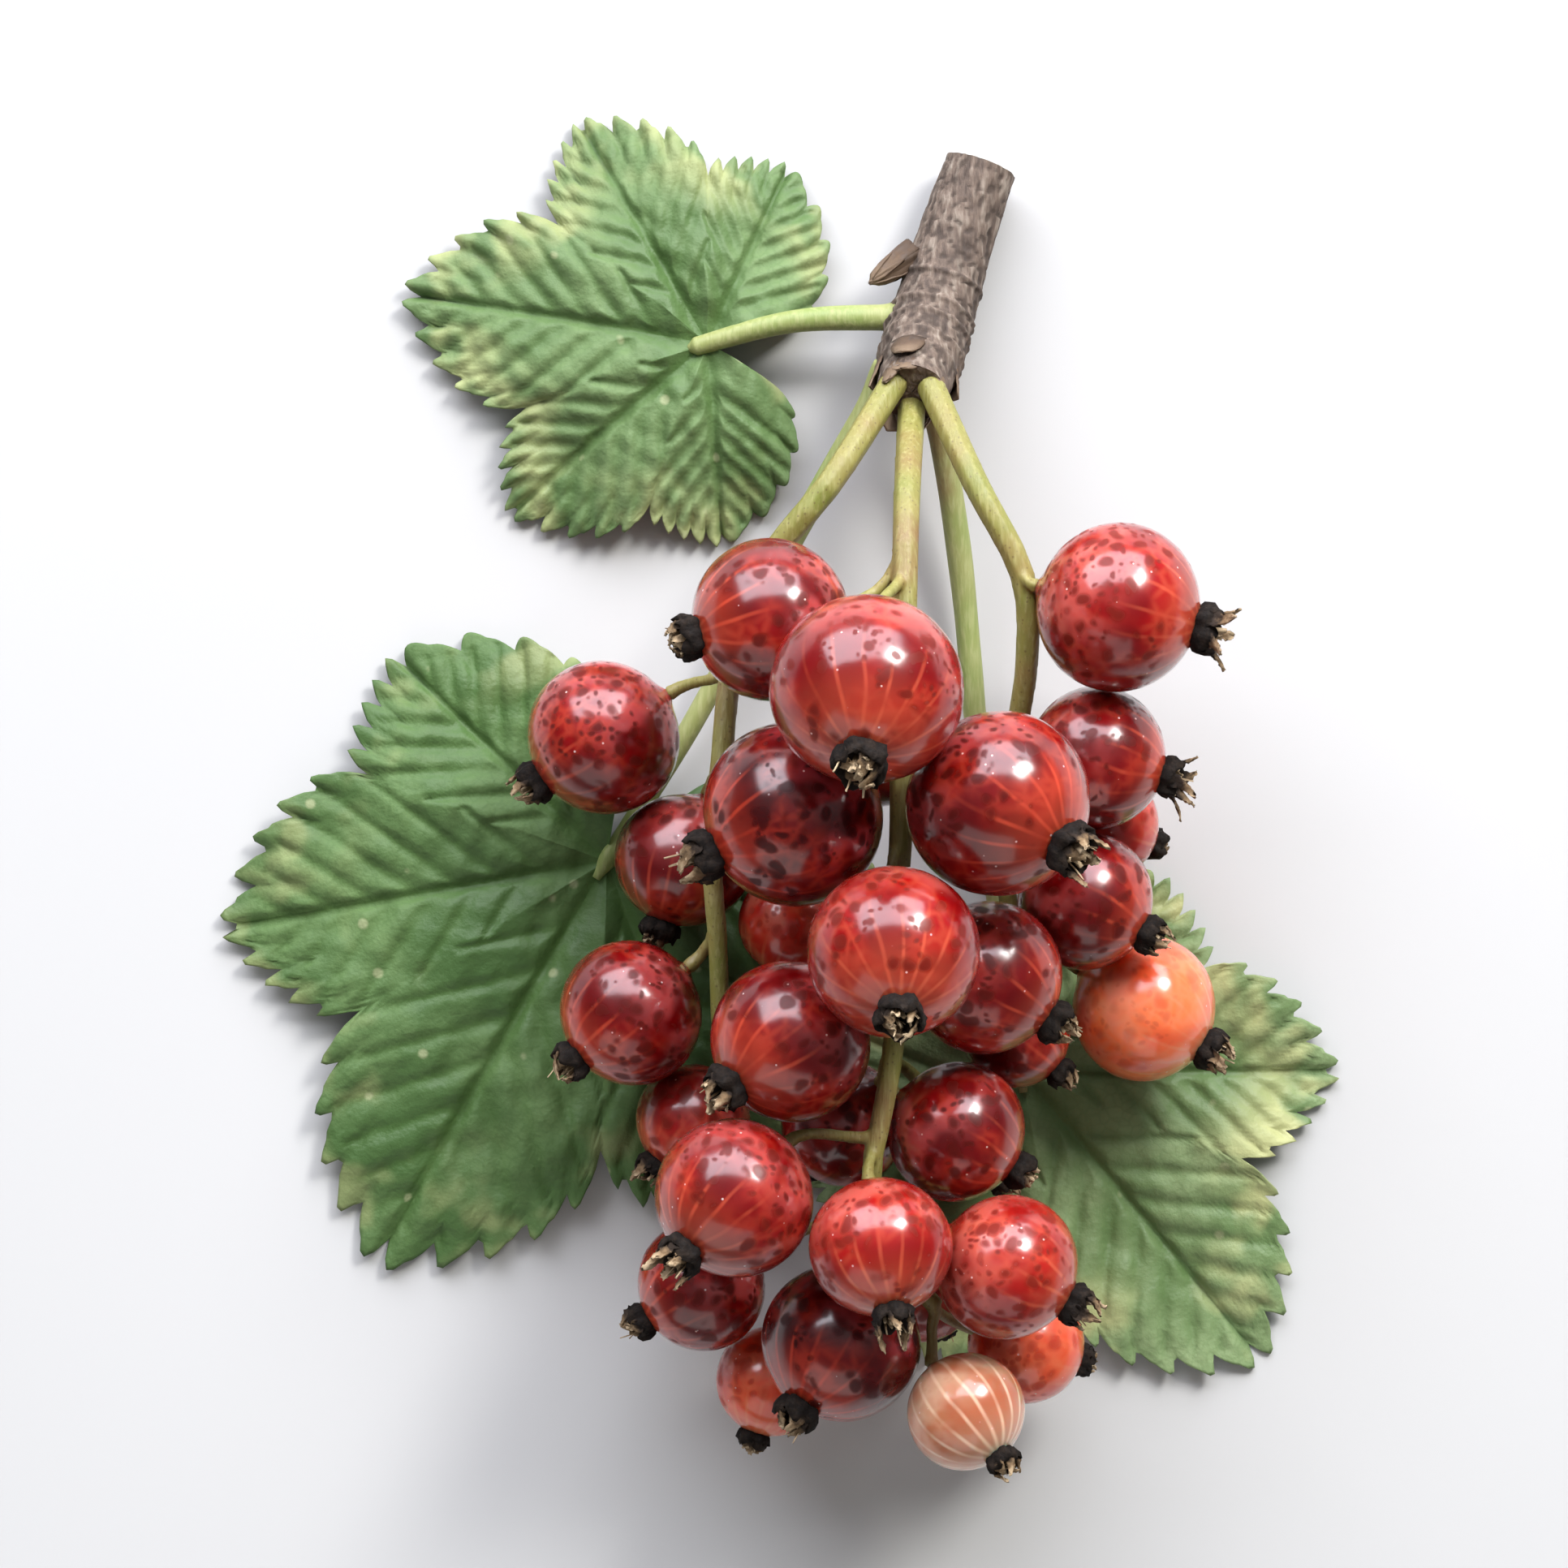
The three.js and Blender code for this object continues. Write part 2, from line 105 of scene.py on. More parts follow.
# Angles from the midrib, with the reach there as a share of the length: a lobe's tip, then a sinus, by turns
OUTLINE = [(0, 1), (29, 0.64), (50, 0.84), (80, 0.58), (104, 0.64), (160, 0.24)]
LOBE_POINTEDNESS = 0.66
LOBE_LIFT = 1.3
LEAF_SPOKES = 400
LEAF_RINGS = 80
LEAF_SEED = 20
LEAF_THICKNESS = 0.28
MARGIN_HEIGHT = 0.3
TEETH_PER_STRETCH = 5
TOOTH_DEPTH = 0.085
TOOTH_MIDDLE = 0.55
SIDE_VEINS = {"first": 0.2, "last": 0.95, "apart": 0.115, "stagger": 0.03, "weight": 0.55}
SIDE_VEIN_LEAN = (52, 36)
VEIN_STEP = 0.4
VEIN_MOST_STEPS = 60
VEIN_WIDTHS = (0.62, 0.26)
VEIN_SINK = 0.2
VEIN_RIDGE = 0.16  # how far a vein stands out below the blade
QUILT = 0.3
BUCKLE = {"height": 0.22, "size": 7.0}
CRINKLE = {"height": 0.07, "size": 1.7, "count": 9}
PETIOLE_RADII = (0.85, 0.6)
PETIOLE_STEPS = 110
PETIOLE_SIDES = 18
PETIOLE_FOOT = {"swell": 0.45, "share": 0.05}
PETIOLE_REACH = 1.6  # how far a leaf stalk goes on into the twig
PETIOLE_ONWARD = 1.2  # and how far under the blade

# Twig, from its cut end to the end of the spur, which reaches on to the strigs' feet
TWIG_LINE = [(5.6, 50.5, 2.3), (4.2, 46.5, 2.7), (3, 42.5, 3.6), (2.1, 39.4, 5.4), (1.355, 36.67, 8.38)]
TWIG_RADII = {"cut": 2.2, "spur": 2.6, "tip": 2.1}
SPUR_SHARE = 0.75
TWIG_SIDES = 56
TWIG_STEPS = 130
SCAR_RINGS = (0.46, 0.6, 0.68, 0.8, 0.88)  # shares of the twig's length
SCAR_HEIGHT = 0.16
SCAR_WIDTH = 0.012
BARK_RELIEF = 0.13
END_ROWS = 9
END_SEED = 5
END_ROUGHNESS = 0.025

# Bud scales: rings of them round the spur's end, and a side bud
SCALE_SEED = 11
SCALE_ROWS = 9
SCALE_THICKNESS = 0.11
SCALE_ROUGHNESS = 0.02
SCALE_RINGS = [
    {"back": 0.9, "radius": 2.05, "count": 6, "length": 2.2, "flare": 0.0},
    {"back": 2.3, "radius": 2.45, "count": 5, "length": 2.4, "flare": 0.15},
]
SIDE_BUD = {"step": 52, "points_to": 60, "out": 2.35, "scales": 6, "radius": 0.75, "sunk": 0.3, "lean": 0.75}
SIDE_BUD_SCALE = {"length": 3.4, "width": 0.85, "flare": -0.75}

# Strigs: their solids are cut into even cells, smoothed, and filled out by what smoothing takes away
STRIG_VOXEL = 0.13
STRIG_SMOOTHING = {"factor": 0.5, "iterations": 7}
STRIG_FILL = 0.06

# The setting: places and sizes in metres, the camera's lens and sensor in millimetres
FLOOR_SIDE = 2.0
CAMERA = {"height": 0.285, "lens": 110.0, "sensor": 36.0, "nearest": 0.01}
LIGHT_AIM = (0.0, 0.0, 0.015)
SOFTBOXES = {
    "sky": {
        "place": (-0.04, 0.42, 0.30), "size": (0.8, 0.42), "watts": 8.0, "colour": (0.9, 0.91, 1.0),
    },
    "front": {
        "place": (-0.12, -0.5, 0.3), "size": (0.7, 0.4), "watts": 0.9, "colour": (1.0, 0.98, 0.95),
    },
    "bright_side": {
        "place": (0.2, 0.24, 0.28), "size": (0.1, 0.13), "watts": 1.5, "colour": (1.0, 0.99, 0.96),
    },
}
DOME_COLOUR = (0.95, 0.97, 1.0, 1.0)
DOME_BRIGHT_SIDE = (0.1, 0.8, 0.59)
DOME_STRENGTH = {"From Min": 0.1, "From Max": 0.95, "To Min": 0.12, "To Max": 0.4}


# Small helpers for numbers


def between(low, high, share):
    return low + (high - low) * share


def smooth_step(value, low, high):
    share = np.clip((value - low) / (high - low), 0.0, 1.0)
    return share * share * (3.0 - 2.0 * share)


def unit(vector):
    return vector / np.linalg.norm(vector)


def waves(points, seed, size, count=6):
    """A smooth value at each point, mostly from -1 to 1, made of a few waves about size long."""
    rng = np.random.default_rng(seed)
    total = np.zeros(len(points))
    for _ in range(count):
        direction = unit(rng.normal(size=points.shape[1]))
        length = size * rng.uniform(0.7, 1.6)
        total += np.sin(points @ direction * (2.0 * math.pi / length) + rng.uniform(0.0, ABOUT_A_TURN))
    return total / math.sqrt(count)


def around_axis(turn):
    """Directions outward and sideways, across +Z, at an angle round it."""
    return np.array([math.cos(turn), math.sin(turn), 0.0]), np.array([-math.sin(turn), math.cos(turn), 0.0])


def full_turn(count):
    return np.linspace(0.0, 2.0 * math.pi, count, endpoint=False)


def smooth_line(places, steps):
    """Evenly spread points on a smooth curve through the places."""
    stretch_steps = 40
    places = np.array(places, dtype=float)
    padded = np.vstack([2 * places[0] - places[1], places, 2 * places[-1] - places[-2]])
    fine = []
    for a, b, c, d in zip(padded, padded[1:], padded[2:], padded[3:]):
        t = np.linspace(0.0, 1.0, stretch_steps)[:, None]
        fine.append(0.5 * (2 * b + (c - a) * t + (2 * a - 5 * b + 4 * c - d) * t**2
                           + (3 * b - a - 3 * c + d) * t**3))
    fine = np.vstack(fine)
    along = np.concatenate([[0.0], np.cumsum(np.linalg.norm(np.diff(fine, axis=0), axis=1))])
    wanted = np.linspace(0.0, along[-1], steps + 1)
    return np.column_stack([np.interp(wanted, along, fine[:, axis]) for axis in range(3)])


# Meshes


class Shape:
    """Vertices in millimetres with faces, a material index for each face and named values for each vertex."""

    def __init__(self):
        self.vertices = []
        self.faces = []
        self.indices = []
        self.values = {}
        self.count = 0

    def add(self, vertices, faces, material=0, **values):
        start = self.count
        vertices = np.asarray(vertices, dtype=float)
        self.vertices.append(vertices)
        self.count += len(vertices)
        self.faces.extend(tuple(start + corner for corner in face) for face in faces)
        self.indices.extend([material] * len(faces))
        for name, value in values.items():
            self.values.setdefault(name, []).append((start, np.broadcast_to(value, len(vertices))))

    def make(self, name, materials):
        mesh = bpy.data.meshes.new(name)
        mesh.from_pydata(np.vstack(self.vertices) * MM, [], self.faces)
        for material in materials:
            mesh.materials.append(material)
        mesh.polygons.foreach_set("material_index", self.indices)
        mesh.polygons.foreach_set("use_smooth", [True] * len(self.faces))
        for value_name, stretches in self.values.items():
            layer = np.zeros(self.count, dtype=np.float32)
            for start, stretch in stretches:
                layer[start:start + len(stretch)] = stretch
            attribute = mesh.attributes.new(value_name, "FLOAT", "POINT")
            attribute.data.foreach_set("value", layer)
        mesh.update()
        piece = bpy.data.objects.new(name, mesh)
        bpy.context.scene.collection.objects.link(piece)
        return piece


def stand_for(piece, node):
    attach(piece, "root")
    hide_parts(node)


def grid_faces(rows, columns, closed=True):
    """Faces of a grid whose vertices run along each row. A closed grid joins its last column to its first."""
    faces = []
    for row in range(rows - 1):
        for column in range(columns if closed else columns - 1):
            after = (column + 1) % columns
            a, b = row * columns + column, row * columns + after
            faces.append((a, b, b + columns, a + columns))
    return faces


def capped(rows, columns):
    """A closed grid's faces with a face across each end."""
    faces = grid_faces(rows, columns)
    faces.append(tuple(reversed(range(columns))))
    faces.append(tuple(range((rows - 1) * columns, rows * columns)))
    return faces


def line_frames(line):
    """Two directions across a line at each of its points, turning as little as they can."""
    tangents = np.gradient(line, axis=0)
    tangents /= np.linalg.norm(tangents, axis=1)[:, None]
    side = unit(np.cross(tangents[0], ASIDE))
    sides = []
    for tangent in tangents:
        side = unit(side - tangent * (side @ tangent))
        sides.append(side)
    sides = np.array(sides)
    return sides, np.cross(tangents, sides)


def tube(line, radii, columns):
    """Rings of vertices along a line, one ring to a row."""
    sides, ups = line_frames(line)
    turn = full_turn(columns)
    radii = np.broadcast_to(radii, len(line))[:, None, None]
    rings = (line[:, None, :]
             + radii * np.cos(turn)[None, :, None] * sides[:, None, :]
             + radii * np.sin(turn)[None, :, None] * ups[:, None, :])
    return rings.reshape(-1, 3)


# Materials


class Shader:
    """A material's node tree. Each call adds a node and gives back its output."""

    def __init__(self, name):
        self.material = bpy.data.materials.new(name)
        self.material.use_nodes = True
        self.tree = self.material.node_tree
        self.surface = self.tree.nodes["Principled BSDF"]

    def node(self, kind, inputs, output=0, **settings):
        made = self.tree.nodes.new("ShaderNode" + kind)
        for name, value in settings.items():
            setattr(made, name, value)
        for key, value in inputs.items():
            self.plug(made.inputs[key], value)
        return made.outputs[output]

    def plug(self, socket, value):
        if isinstance(value, bpy.types.NodeSocket):
            self.tree.links.new(value, socket)
        else:
            socket.default_value = value

    def set(self, **inputs):
        for name, value in inputs.items():
            self.plug(self.surface.inputs[name.replace("_", " ")], value)

    def place(self):
        return self.node("TexCoord", {}, "Object")

    def place_mm(self):
        return self.scaled(self.place(), 1.0 / MM)

    def value(self, name):
        return self.node("Attribute", {}, "Fac", attribute_name=name)

    def math(self, operation, a, b=0.0):
        return self.node("Math", {0: a, 1: b}, operation=operation)

    def times(self, a, b):
        return self.math("MULTIPLY", a, b)

    def scaled(self, vector, scale, shift=None):
        grown = self.node("VectorMath", {0: vector, "Scale": scale}, operation="SCALE")
        if shift is None:
            return grown
        return self.node("VectorMath", {0: grown, 1: shift}, operation="ADD")

    def step(self, value, low, high, to_low=0.0, to_high=1.0):
        """to_low where value is at most low, to_high where it is at least high, and smooth between."""
        inputs = {"Value": value, "From Min": low, "From Max": high, "To Min": to_low, "To Max": to_high}
        return self.node("MapRange", inputs, interpolation_type="SMOOTHSTEP")

    def mix(self, share, a, b):
        return self.node("Mix", {0: share, 6: a, 7: b}, 2, data_type="RGBA")

    def noise(self, vector, scale, detail=3.0, output=0):
        inputs = {"Vector": vector, "Scale": scale, "Detail": detail, "Roughness": 0.55}
        return self.node("TexNoise", inputs, output)

    def cells(self, vector, scale, feature="F1"):
        return self.node("TexVoronoi", {"Vector": vector, "Scale": scale}, "Distance", feature=feature)

    def streaks(self, vector, across, along, detail):
        """Noise drawn out along Y, the way that the twig and most stalks run."""
        stretched = self.node("Mapping", {"Vector": vector, "Scale": (across, along, across)})
        return self.noise(stretched, 1.0, detail)

    def ramp(self, value, stops):
        """A colour from a list of places, from 0 to 1, and their colours."""
        made = self.tree.nodes.new("ShaderNodeValToRGB")
        elements = made.color_ramp.elements
        while len(elements) < len(stops):
            elements.new(0.5)
        for element, (place, colour) in zip(elements, stops):
            element.position = place
            element.color = (*colour, 1.0)
        self.plug(made.inputs[0], value)
        return made.outputs[0]

    def bump(self, height, strength, depth_mm):
        return self.node("Bump", {"Height": height, "Strength": strength, "Distance": depth_mm * MM})


def solid(red, green, blue):
    return (red, green, blue, 1.0)


def berry_material():
    """Skin that light sinks into: pale veins from the flower, pale tissue on the stalk half lightened with a
    painted lavender highlight, broken by dark spots, fine dust.
    """
    s = Shader("berry_skin")
    place = s.place()
    seed = s.value("seed")
    toward_flower = s.value("latitude")
    ripeness = s.value("ripeness")
    shift = s.node("CombineXYZ", {0: seed, 1: seed, 2: seed})
    inside = s.scaled(place, 1.0 / MM, shift)

    # Veins keep their width in millimetres as they run together at the flower
    east = s.math("DIVIDE", s.node("SeparateXYZ", {0: place}, 0), MM)
    north = s.math("DIVIDE", s.node("SeparateXYZ", {0: place}, 1), MM)
    off_axis = s.math("SQRT", s.math("ADD", s.times(east, east), s.times(north, north)))
    broad = s.noise(inside, 0.3, 1.0)
    medium = s.noise(inside, 0.45, 1.0)
    waver = s.times(s.math("SUBTRACT", s.noise(inside, 0.24, 1.0), 0.5), 1.7)
    phase = s.math("ADD", s.times(s.math("ARCTAN2", north, east), VEIN_PAIRS), waver)
    aside = s.times(s.math("ABSOLUTE", s.math("SINE", phase)), off_axis)
    lines = s.step(s.math("DIVIDE", aside, VEIN_PAIRS), 0.02, 0.17, 1.0, 0.0)
    pale = s.step(ripeness, 0.1, 0.3, 1.0, 0.0)
    lines = s.times(lines, s.math("MAXIMUM", s.step(toward_flower, -0.1, 0.8), pale))
    lines = s.times(lines, s.step(medium, 0.32, 0.62, 0.25, 1.0))
    net = s.step(s.cells(inside, 0.95, "DISTANCE_TO_EDGE"), 0.0, 0.3, 1.0, 0.0)
    net = s.times(net, s.step(broad, 0.42, 0.66))

    # Dark, uneven spots crowd the half towards the stalk, large ones and small ones
    bent = s.scaled(s.noise(inside, 0.9, 0.0, output="Color"), 0.7, inside)
    large = s.step(s.cells(bent, 0.85), 0.2, 0.5, 1.0, 0.0)
    small = s.step(s.cells(bent, 1.6), 0.16, 0.42, 1.0, 0.0)
    crowd = s.math("ADD", s.noise(inside, 0.32, 1.0), s.times(toward_flower, -0.24))
    spots = s.math("MAXIMUM", s.times(large, s.step(crowd, 0.27, 0.42)),
                   s.times(small, s.step(crowd, 0.36, 0.52)))
    spots = s.times(spots, s.step(ripeness, 0.05, 0.7, 0.15, 1.0))

    cloud = s.step(broad, 0.35, 0.68)
    deep = s.ramp(ripeness, [
        (0.0, (0.40, 0.12, 0.055)), (0.3, (0.68, 0.085, 0.024)), (0.5, (0.46, 0.018, 0.01)),
        (0.75, (0.19, 0.0008, 0.002)), (1.0, (0.055, 0.0003, 0.0008)),
    ])
    bright = s.ramp(ripeness, [
        (0.0, (0.50, 0.19, 0.09)), (0.3, (0.82, 0.18, 0.055)), (0.5, (0.60, 0.045, 0.02)),
        (0.75, (0.33, 0.002, 0.003)), (1.0, (0.14, 0.0008, 0.0015)),
    ])
    vein_tint = s.ramp(ripeness, [
        (0.0, (0.74, 0.52, 0.36)), (0.4, (0.72, 0.24, 0.11)), (1.0, (0.58, 0.055, 0.022)),
    ])
    tissue_and_sheen_tint = s.ramp(ripeness, [
        (0.0, (0.68, 0.44, 0.30)), (0.4, (0.66, 0.18, 0.11)), (1.0, (0.42, 0.05, 0.06)),
    ])
    spot_tint = s.ramp(ripeness, [
        (0.0, (0.40, 0.13, 0.06)), (0.4, (0.34, 0.025, 0.012)), (1.0, (0.04, 0.0005, 0.001)),
    ])
    colour = s.mix(cloud, deep, bright)
    # Pale tissue and a painted highlight: the stalk half, which faces the sky light, is painted pale pinkish
    # lavender as the sky's reflection there
    tissue_and_painted_sheen = s.times(s.step(toward_flower, -0.5, 0.4, 1.0, 0.0), s.step(medium, 0.38, 0.6))
    colour = s.mix(s.times(tissue_and_painted_sheen, 0.75), colour, tissue_and_sheen_tint)
    colour = s.mix(s.times(net, 0.25), colour, vein_tint)
    # Lighter orange all over the flower end: partly the veins running together there, partly a painted glow
    # of light shining through the berry
    colour = s.mix(s.times(s.step(toward_flower, 0.4, 1.0), 0.35), colour, vein_tint)
    colour = s.mix(s.times(lines, s.step(pale, 0.0, 1.0, 0.58, 0.95)), colour, vein_tint)
    colour = s.mix(s.times(spots, 0.9), colour, spot_tint)
    dust = s.step(s.cells(inside, 1.3), 0.06, 0.1, 1.0, 0.0)
    dust = s.times(dust, s.step(medium, 0.48, 0.54))
    colour = s.mix(s.times(dust, 0.7), colour, solid(0.8, 0.6, 0.55))

    rough = s.step(spots, 0.2, 0.9, 0.15, 0.4)
    uneven = s.bump(s.noise(inside, 0.5, 1.0), 0.15, 0.25)
    s.set(Base_Color=colour, Roughness=rough, Normal=uneven, IOR=1.42, Specular_IOR_Level=0.25)
    s.set(Subsurface_Weight=0.8, Subsurface_Radius=(1.0, 0.13, 0.09), Subsurface_Scale=2.6 * MM)
    s.set(Coat_Weight=s.step(spots, 0.1, 0.8, 1.0, 0.12), Coat_Roughness=0.2, Coat_Normal=uneven)
    return s.material


def flower_material():
    """The withered flower: black at its foot and dry tan towards its tips."""
    s = Shader("withered_flower")
    place = s.place_mm()
    dry = s.math("ADD", s.value("dry"), s.times(s.math("SUBTRACT", s.noise(place, 2.5), 0.5), 0.7))
    colour = s.ramp(dry, [
        (0.0, (0.008, 0.006, 0.005)), (0.35, (0.03, 0.02, 0.014)), (0.65, (0.20, 0.13, 0.07)),
        (1.0, (0.46, 0.35, 0.22)),
    ])
    wrinkles = s.bump(s.noise(place, 6.0, 4.0), 0.6, 0.1)
    s.set(Base_Color=colour, Roughness=s.step(s.noise(place, 3.0), 0.3, 0.7, 0.7, 0.95), Normal=wrinkles,
          Specular_IOR_Level=0.15)
    return s.material


def stalk_material():
    """Yellow-green fruit stalk, browner and redder in patches."""
    s = Shader("strig_stalk")
    place = s.place_mm()
    colour = s.ramp(s.noise(place, 0.18, 3.0), [
        (0.25, (0.17, 0.20, 0.035)), (0.5, (0.24, 0.21, 0.055)), (0.7, (0.22, 0.13, 0.05)),
        (0.85, (0.16, 0.06, 0.03)),
    ])
    fibre = s.streaks(place, 5.0, 0.7, 4.0)
    colour = s.mix(s.step(fibre, 0.45, 0.75, 0.0, 0.5), colour, solid(0.38, 0.36, 0.14))
    dots = s.step(s.cells(place, 2.6), 0.1, 0.24, 1.0, 0.0)
    colour = s.mix(s.times(dots, 0.5), colour, solid(0.09, 0.045, 0.02))
    s.set(Base_Color=colour, Roughness=s.step(fibre, 0.3, 0.7, 0.42, 0.6),
          Normal=s.bump(fibre, 0.5, 0.12))
    return s.material


def leaf_material():
    """Dull green blade, paler between the veins, with painted shade darkening its sunken veins, yellowed
    along parts of its margin.
    """
    s = Shader("leaf_blade")
    place = s.place_mm()
    tone = s.value("tone")
    vein = s.value("vein")
    margin = s.value("margin")
    patches = s.step(s.noise(place, 0.16, 3.0), 0.3, 0.7)
    dark = s.mix(tone, solid(0.03, 0.078, 0.016), solid(0.12, 0.19, 0.07))
    pale = s.mix(tone, solid(0.06, 0.125, 0.03), solid(0.23, 0.31, 0.145))
    colour = s.mix(patches, dark, pale)
    web = s.step(s.cells(place, 1.5, "DISTANCE_TO_EDGE"), 0.02, 0.16, 1.0, 0.0)
    colour = s.mix(s.times(web, 0.25), colour, dark)
    # Painted shade: darker green along the sunken veins, as the shadow that lies in them
    vein_tint = s.mix(tone, solid(0.05, 0.11, 0.02), solid(0.06, 0.12, 0.03))
    colour = s.mix(s.times(vein, 0.6), colour, vein_tint)
    yellow = s.times(s.step(margin, 0.62, 0.98), s.step(s.noise(place, 0.2, 2.0), 0.46, 0.62))
    colour = s.mix(s.times(yellow, s.math("ADD", s.times(tone, 0.7), 0.15)),
                   colour, solid(0.46, 0.46, 0.21))
    specks = s.step(s.cells(place, 0.32), 0.06, 0.13, 1.0, 0.0)
    colour = s.mix(s.times(specks, 0.55), colour, solid(0.33, 0.35, 0.19))
    height = s.noise(place, 1.3, 3.0)
    s.set(Base_Color=colour, Roughness=s.step(patches, 0.0, 1.0, 0.5, 0.66),
          Normal=s.bump(height, 0.5, 0.25), Specular_IOR_Level=0.28)
    return s.material


def petiole_material():
    """Green leaf stalk with a red flush and fine lengthwise lines."""
    s = Shader("leaf_stalk")
    place = s.place_mm()
    lines = s.streaks(place, 4.0, 0.6, 3.0)
    colour = s.ramp(s.noise(place, 0.14, 3.0), [
        (0.3, (0.20, 0.27, 0.07)), (0.55, (0.27, 0.29, 0.10)), (0.75, (0.26, 0.13, 0.07)),
    ])
    colour = s.mix(s.step(lines, 0.4, 0.7, 0.0, 0.4), colour, solid(0.42, 0.43, 0.2))
    s.set(Base_Color=colour, Roughness=s.step(lines, 0.3, 0.7, 0.45, 0.62),
          Normal=s.bump(lines, 0.4, 0.12))
    return s.material


def bark_material():
    """Grey-brown bark with dark cracks and pale pores. The cut end shows wood, with pith in its middle."""
    s = Shader("twig_bark")
    place = s.place_mm()
    cut = s.value("cut")
    across = s.value("across")
    height = s.value("height")
    grain = s.streaks(place, 2.6, 0.5, 5.0)
    colour = s.ramp(grain, [
        (0.3, (0.05, 0.032, 0.022)), (0.5, (0.14, 0.10, 0.075)), (0.72, (0.30, 0.25, 0.20)),
    ])
    colour = s.mix(s.step(height, -0.6, 0.1, 0.8, 0.0), colour, solid(0.035, 0.022, 0.015))
    colour = s.mix(s.step(height, 0.5, 1.0, 0.0, 0.7), colour, solid(0.36, 0.30, 0.24))
    rings = s.math("SINE", s.times(across, 34.0))
    wood = s.mix(s.step(rings, -0.6, 0.9, 0.0, 0.35), solid(0.58, 0.48, 0.28), solid(0.42, 0.32, 0.17))
    wood = s.mix(s.step(across, 0.2, 0.27, 1.0, 0.0), wood, solid(0.36, 0.25, 0.13))
    wood = s.mix(s.step(across, 0.78, 0.84), wood, solid(0.22, 0.27, 0.07))
    wood = s.mix(s.step(across, 0.88, 0.93), wood, solid(0.07, 0.045, 0.03))
    wood = s.mix(s.step(s.noise(place, 3.0, 4.0), 0.5, 0.7, 0.0, 0.3), wood, solid(0.3, 0.22, 0.12))
    colour = s.mix(cut, colour, wood)
    rough = s.step(grain, 0.3, 0.7, 0.72, 0.92)
    s.set(Base_Color=colour, Roughness=rough, Normal=s.bump(grain, 0.7, 0.3))
    return s.material


def scale_material():
    """Papery brown bud scales."""
    s = Shader("bud_scale")
    place = s.place_mm()
    along = s.value("along")
    grain = s.noise(place, 2.0, 4.0)
    colour = s.ramp(s.math("ADD", s.times(along, 0.7), s.times(grain, 0.5)), [
        (0.15, (0.03, 0.018, 0.011)), (0.5, (0.085, 0.05, 0.028)), (0.95, (0.19, 0.13, 0.08)),
    ])
    s.set(Base_Color=colour, Roughness=s.step(grain, 0.3, 0.7, 0.6, 0.85),
          Normal=s.bump(grain, 0.5, 0.12))
    return s.material


# Berries


def berry_facts(node):
    """A berry's middle, its flower's direction and its radius, from its solid in the frame."""
    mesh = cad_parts[node].data
    corners = np.empty(len(mesh.vertices) * 3)
    mesh.vertices.foreach_get("co", corners)
    corners = np.unique(np.round(corners.reshape(-1, 3) / MM, 4), axis=0)
    apart = np.linalg.norm(corners[:, None] - corners[None], axis=2)
    farthest = apart > apart.max() - 0.01
    stalk = farthest.sum(axis=1).argmax()
    length = corners[farthest[stalk]].mean(axis=0) - corners[stalk]
    radius = np.linalg.norm(length) / (2.0 * POLAR_SHARE + CAD_FLOWER_LENGTH)
    axis = unit(length)
    return corners[stalk] + axis * POLAR_SHARE * radius, axis, radius


def add_skin(shape, radius, seed, ripeness):
    """The berry itself, its flower towards +Z, slightly ribbed and uneven, with a nub at its stalk."""
    fall = np.linspace(0.0, math.pi, BERRY_RINGS + 1)[1:-1]
    fall, turn = (grid.ravel() for grid in np.meshgrid(fall, full_turn(BERRY_SIDES), indexing="ij"))
    fall = np.concatenate([fall, [0.0, math.pi]])
    turn = np.concatenate([turn, [0.0, 0.0]])
    directions = np.column_stack([np.sin(fall) * np.cos(turn), np.sin(fall) * np.sin(turn), -np.cos(fall)])
    ribs = RIB_HEIGHT * np.cos(RIBS * turn) * np.sin(fall) ** 2
    swell = 1.0 + UNEVENNESS * waves(directions, seed, 2.4) + ribs
    points = directions * swell[:, None] * radius
    points[:, 2] *= POLAR_SHARE
    points[:, 2] -= NUB["height"] * np.exp(-(fall * radius / NUB["width"]) ** 2)
    points[:, 2] += FLOWER_RISE["height"] * radius * np.exp(-((math.pi - fall) / FLOWER_RISE["width"]) ** 2)
    rows = BERRY_RINGS - 1
    stalk_end, flower_end = rows * BERRY_SIDES, rows * BERRY_SIDES + 1
    faces = grid_faces(rows, BERRY_SIDES)
    for side in range(BERRY_SIDES):
        after = (side + 1) % BERRY_SIDES
        last = (rows - 1) * BERRY_SIDES
        faces.append((stalk_end, after, side))
        faces.append((flower_end, last + side, last + after))
    shape.add(points, faces, 0, latitude=-np.cos(fall), seed=seed * 7.31, ripeness=ripeness)


def add_cup(shape, radius, rng):
    """The crumpled black cup at the foot of the withered flower."""
    width = FLOWER["width"] * radius
    foot = POLAR_SHARE * radius
    turn = full_turn(CUP_SIDES)
    ripple = 1.0 + 0.08 * np.cos(5 * turn + rng.uniform(0, 6)) + 0.06 * np.cos(9 * turn + rng.uniform(0, 6))
    rows = []
    for share, rise, _ in CUP_PROFILE:
        lift = rise * radius * (1.0 + 0.3 * np.sin(4 * turn + rng.uniform(0, 6)) * (rise > 0.1))
        out = share * width * ripple * (1.0 + rng.normal(0.0, 0.03, CUP_SIDES))
        rows.append(np.column_stack([out * np.cos(turn), out * np.sin(turn), foot + lift]))
    dry = np.repeat([dryness for _, _, dryness in CUP_PROFILE], CUP_SIDES)
    shape.add(np.vstack(rows), capped(len(CUP_PROFILE), CUP_SIDES), 1, dry=dry)


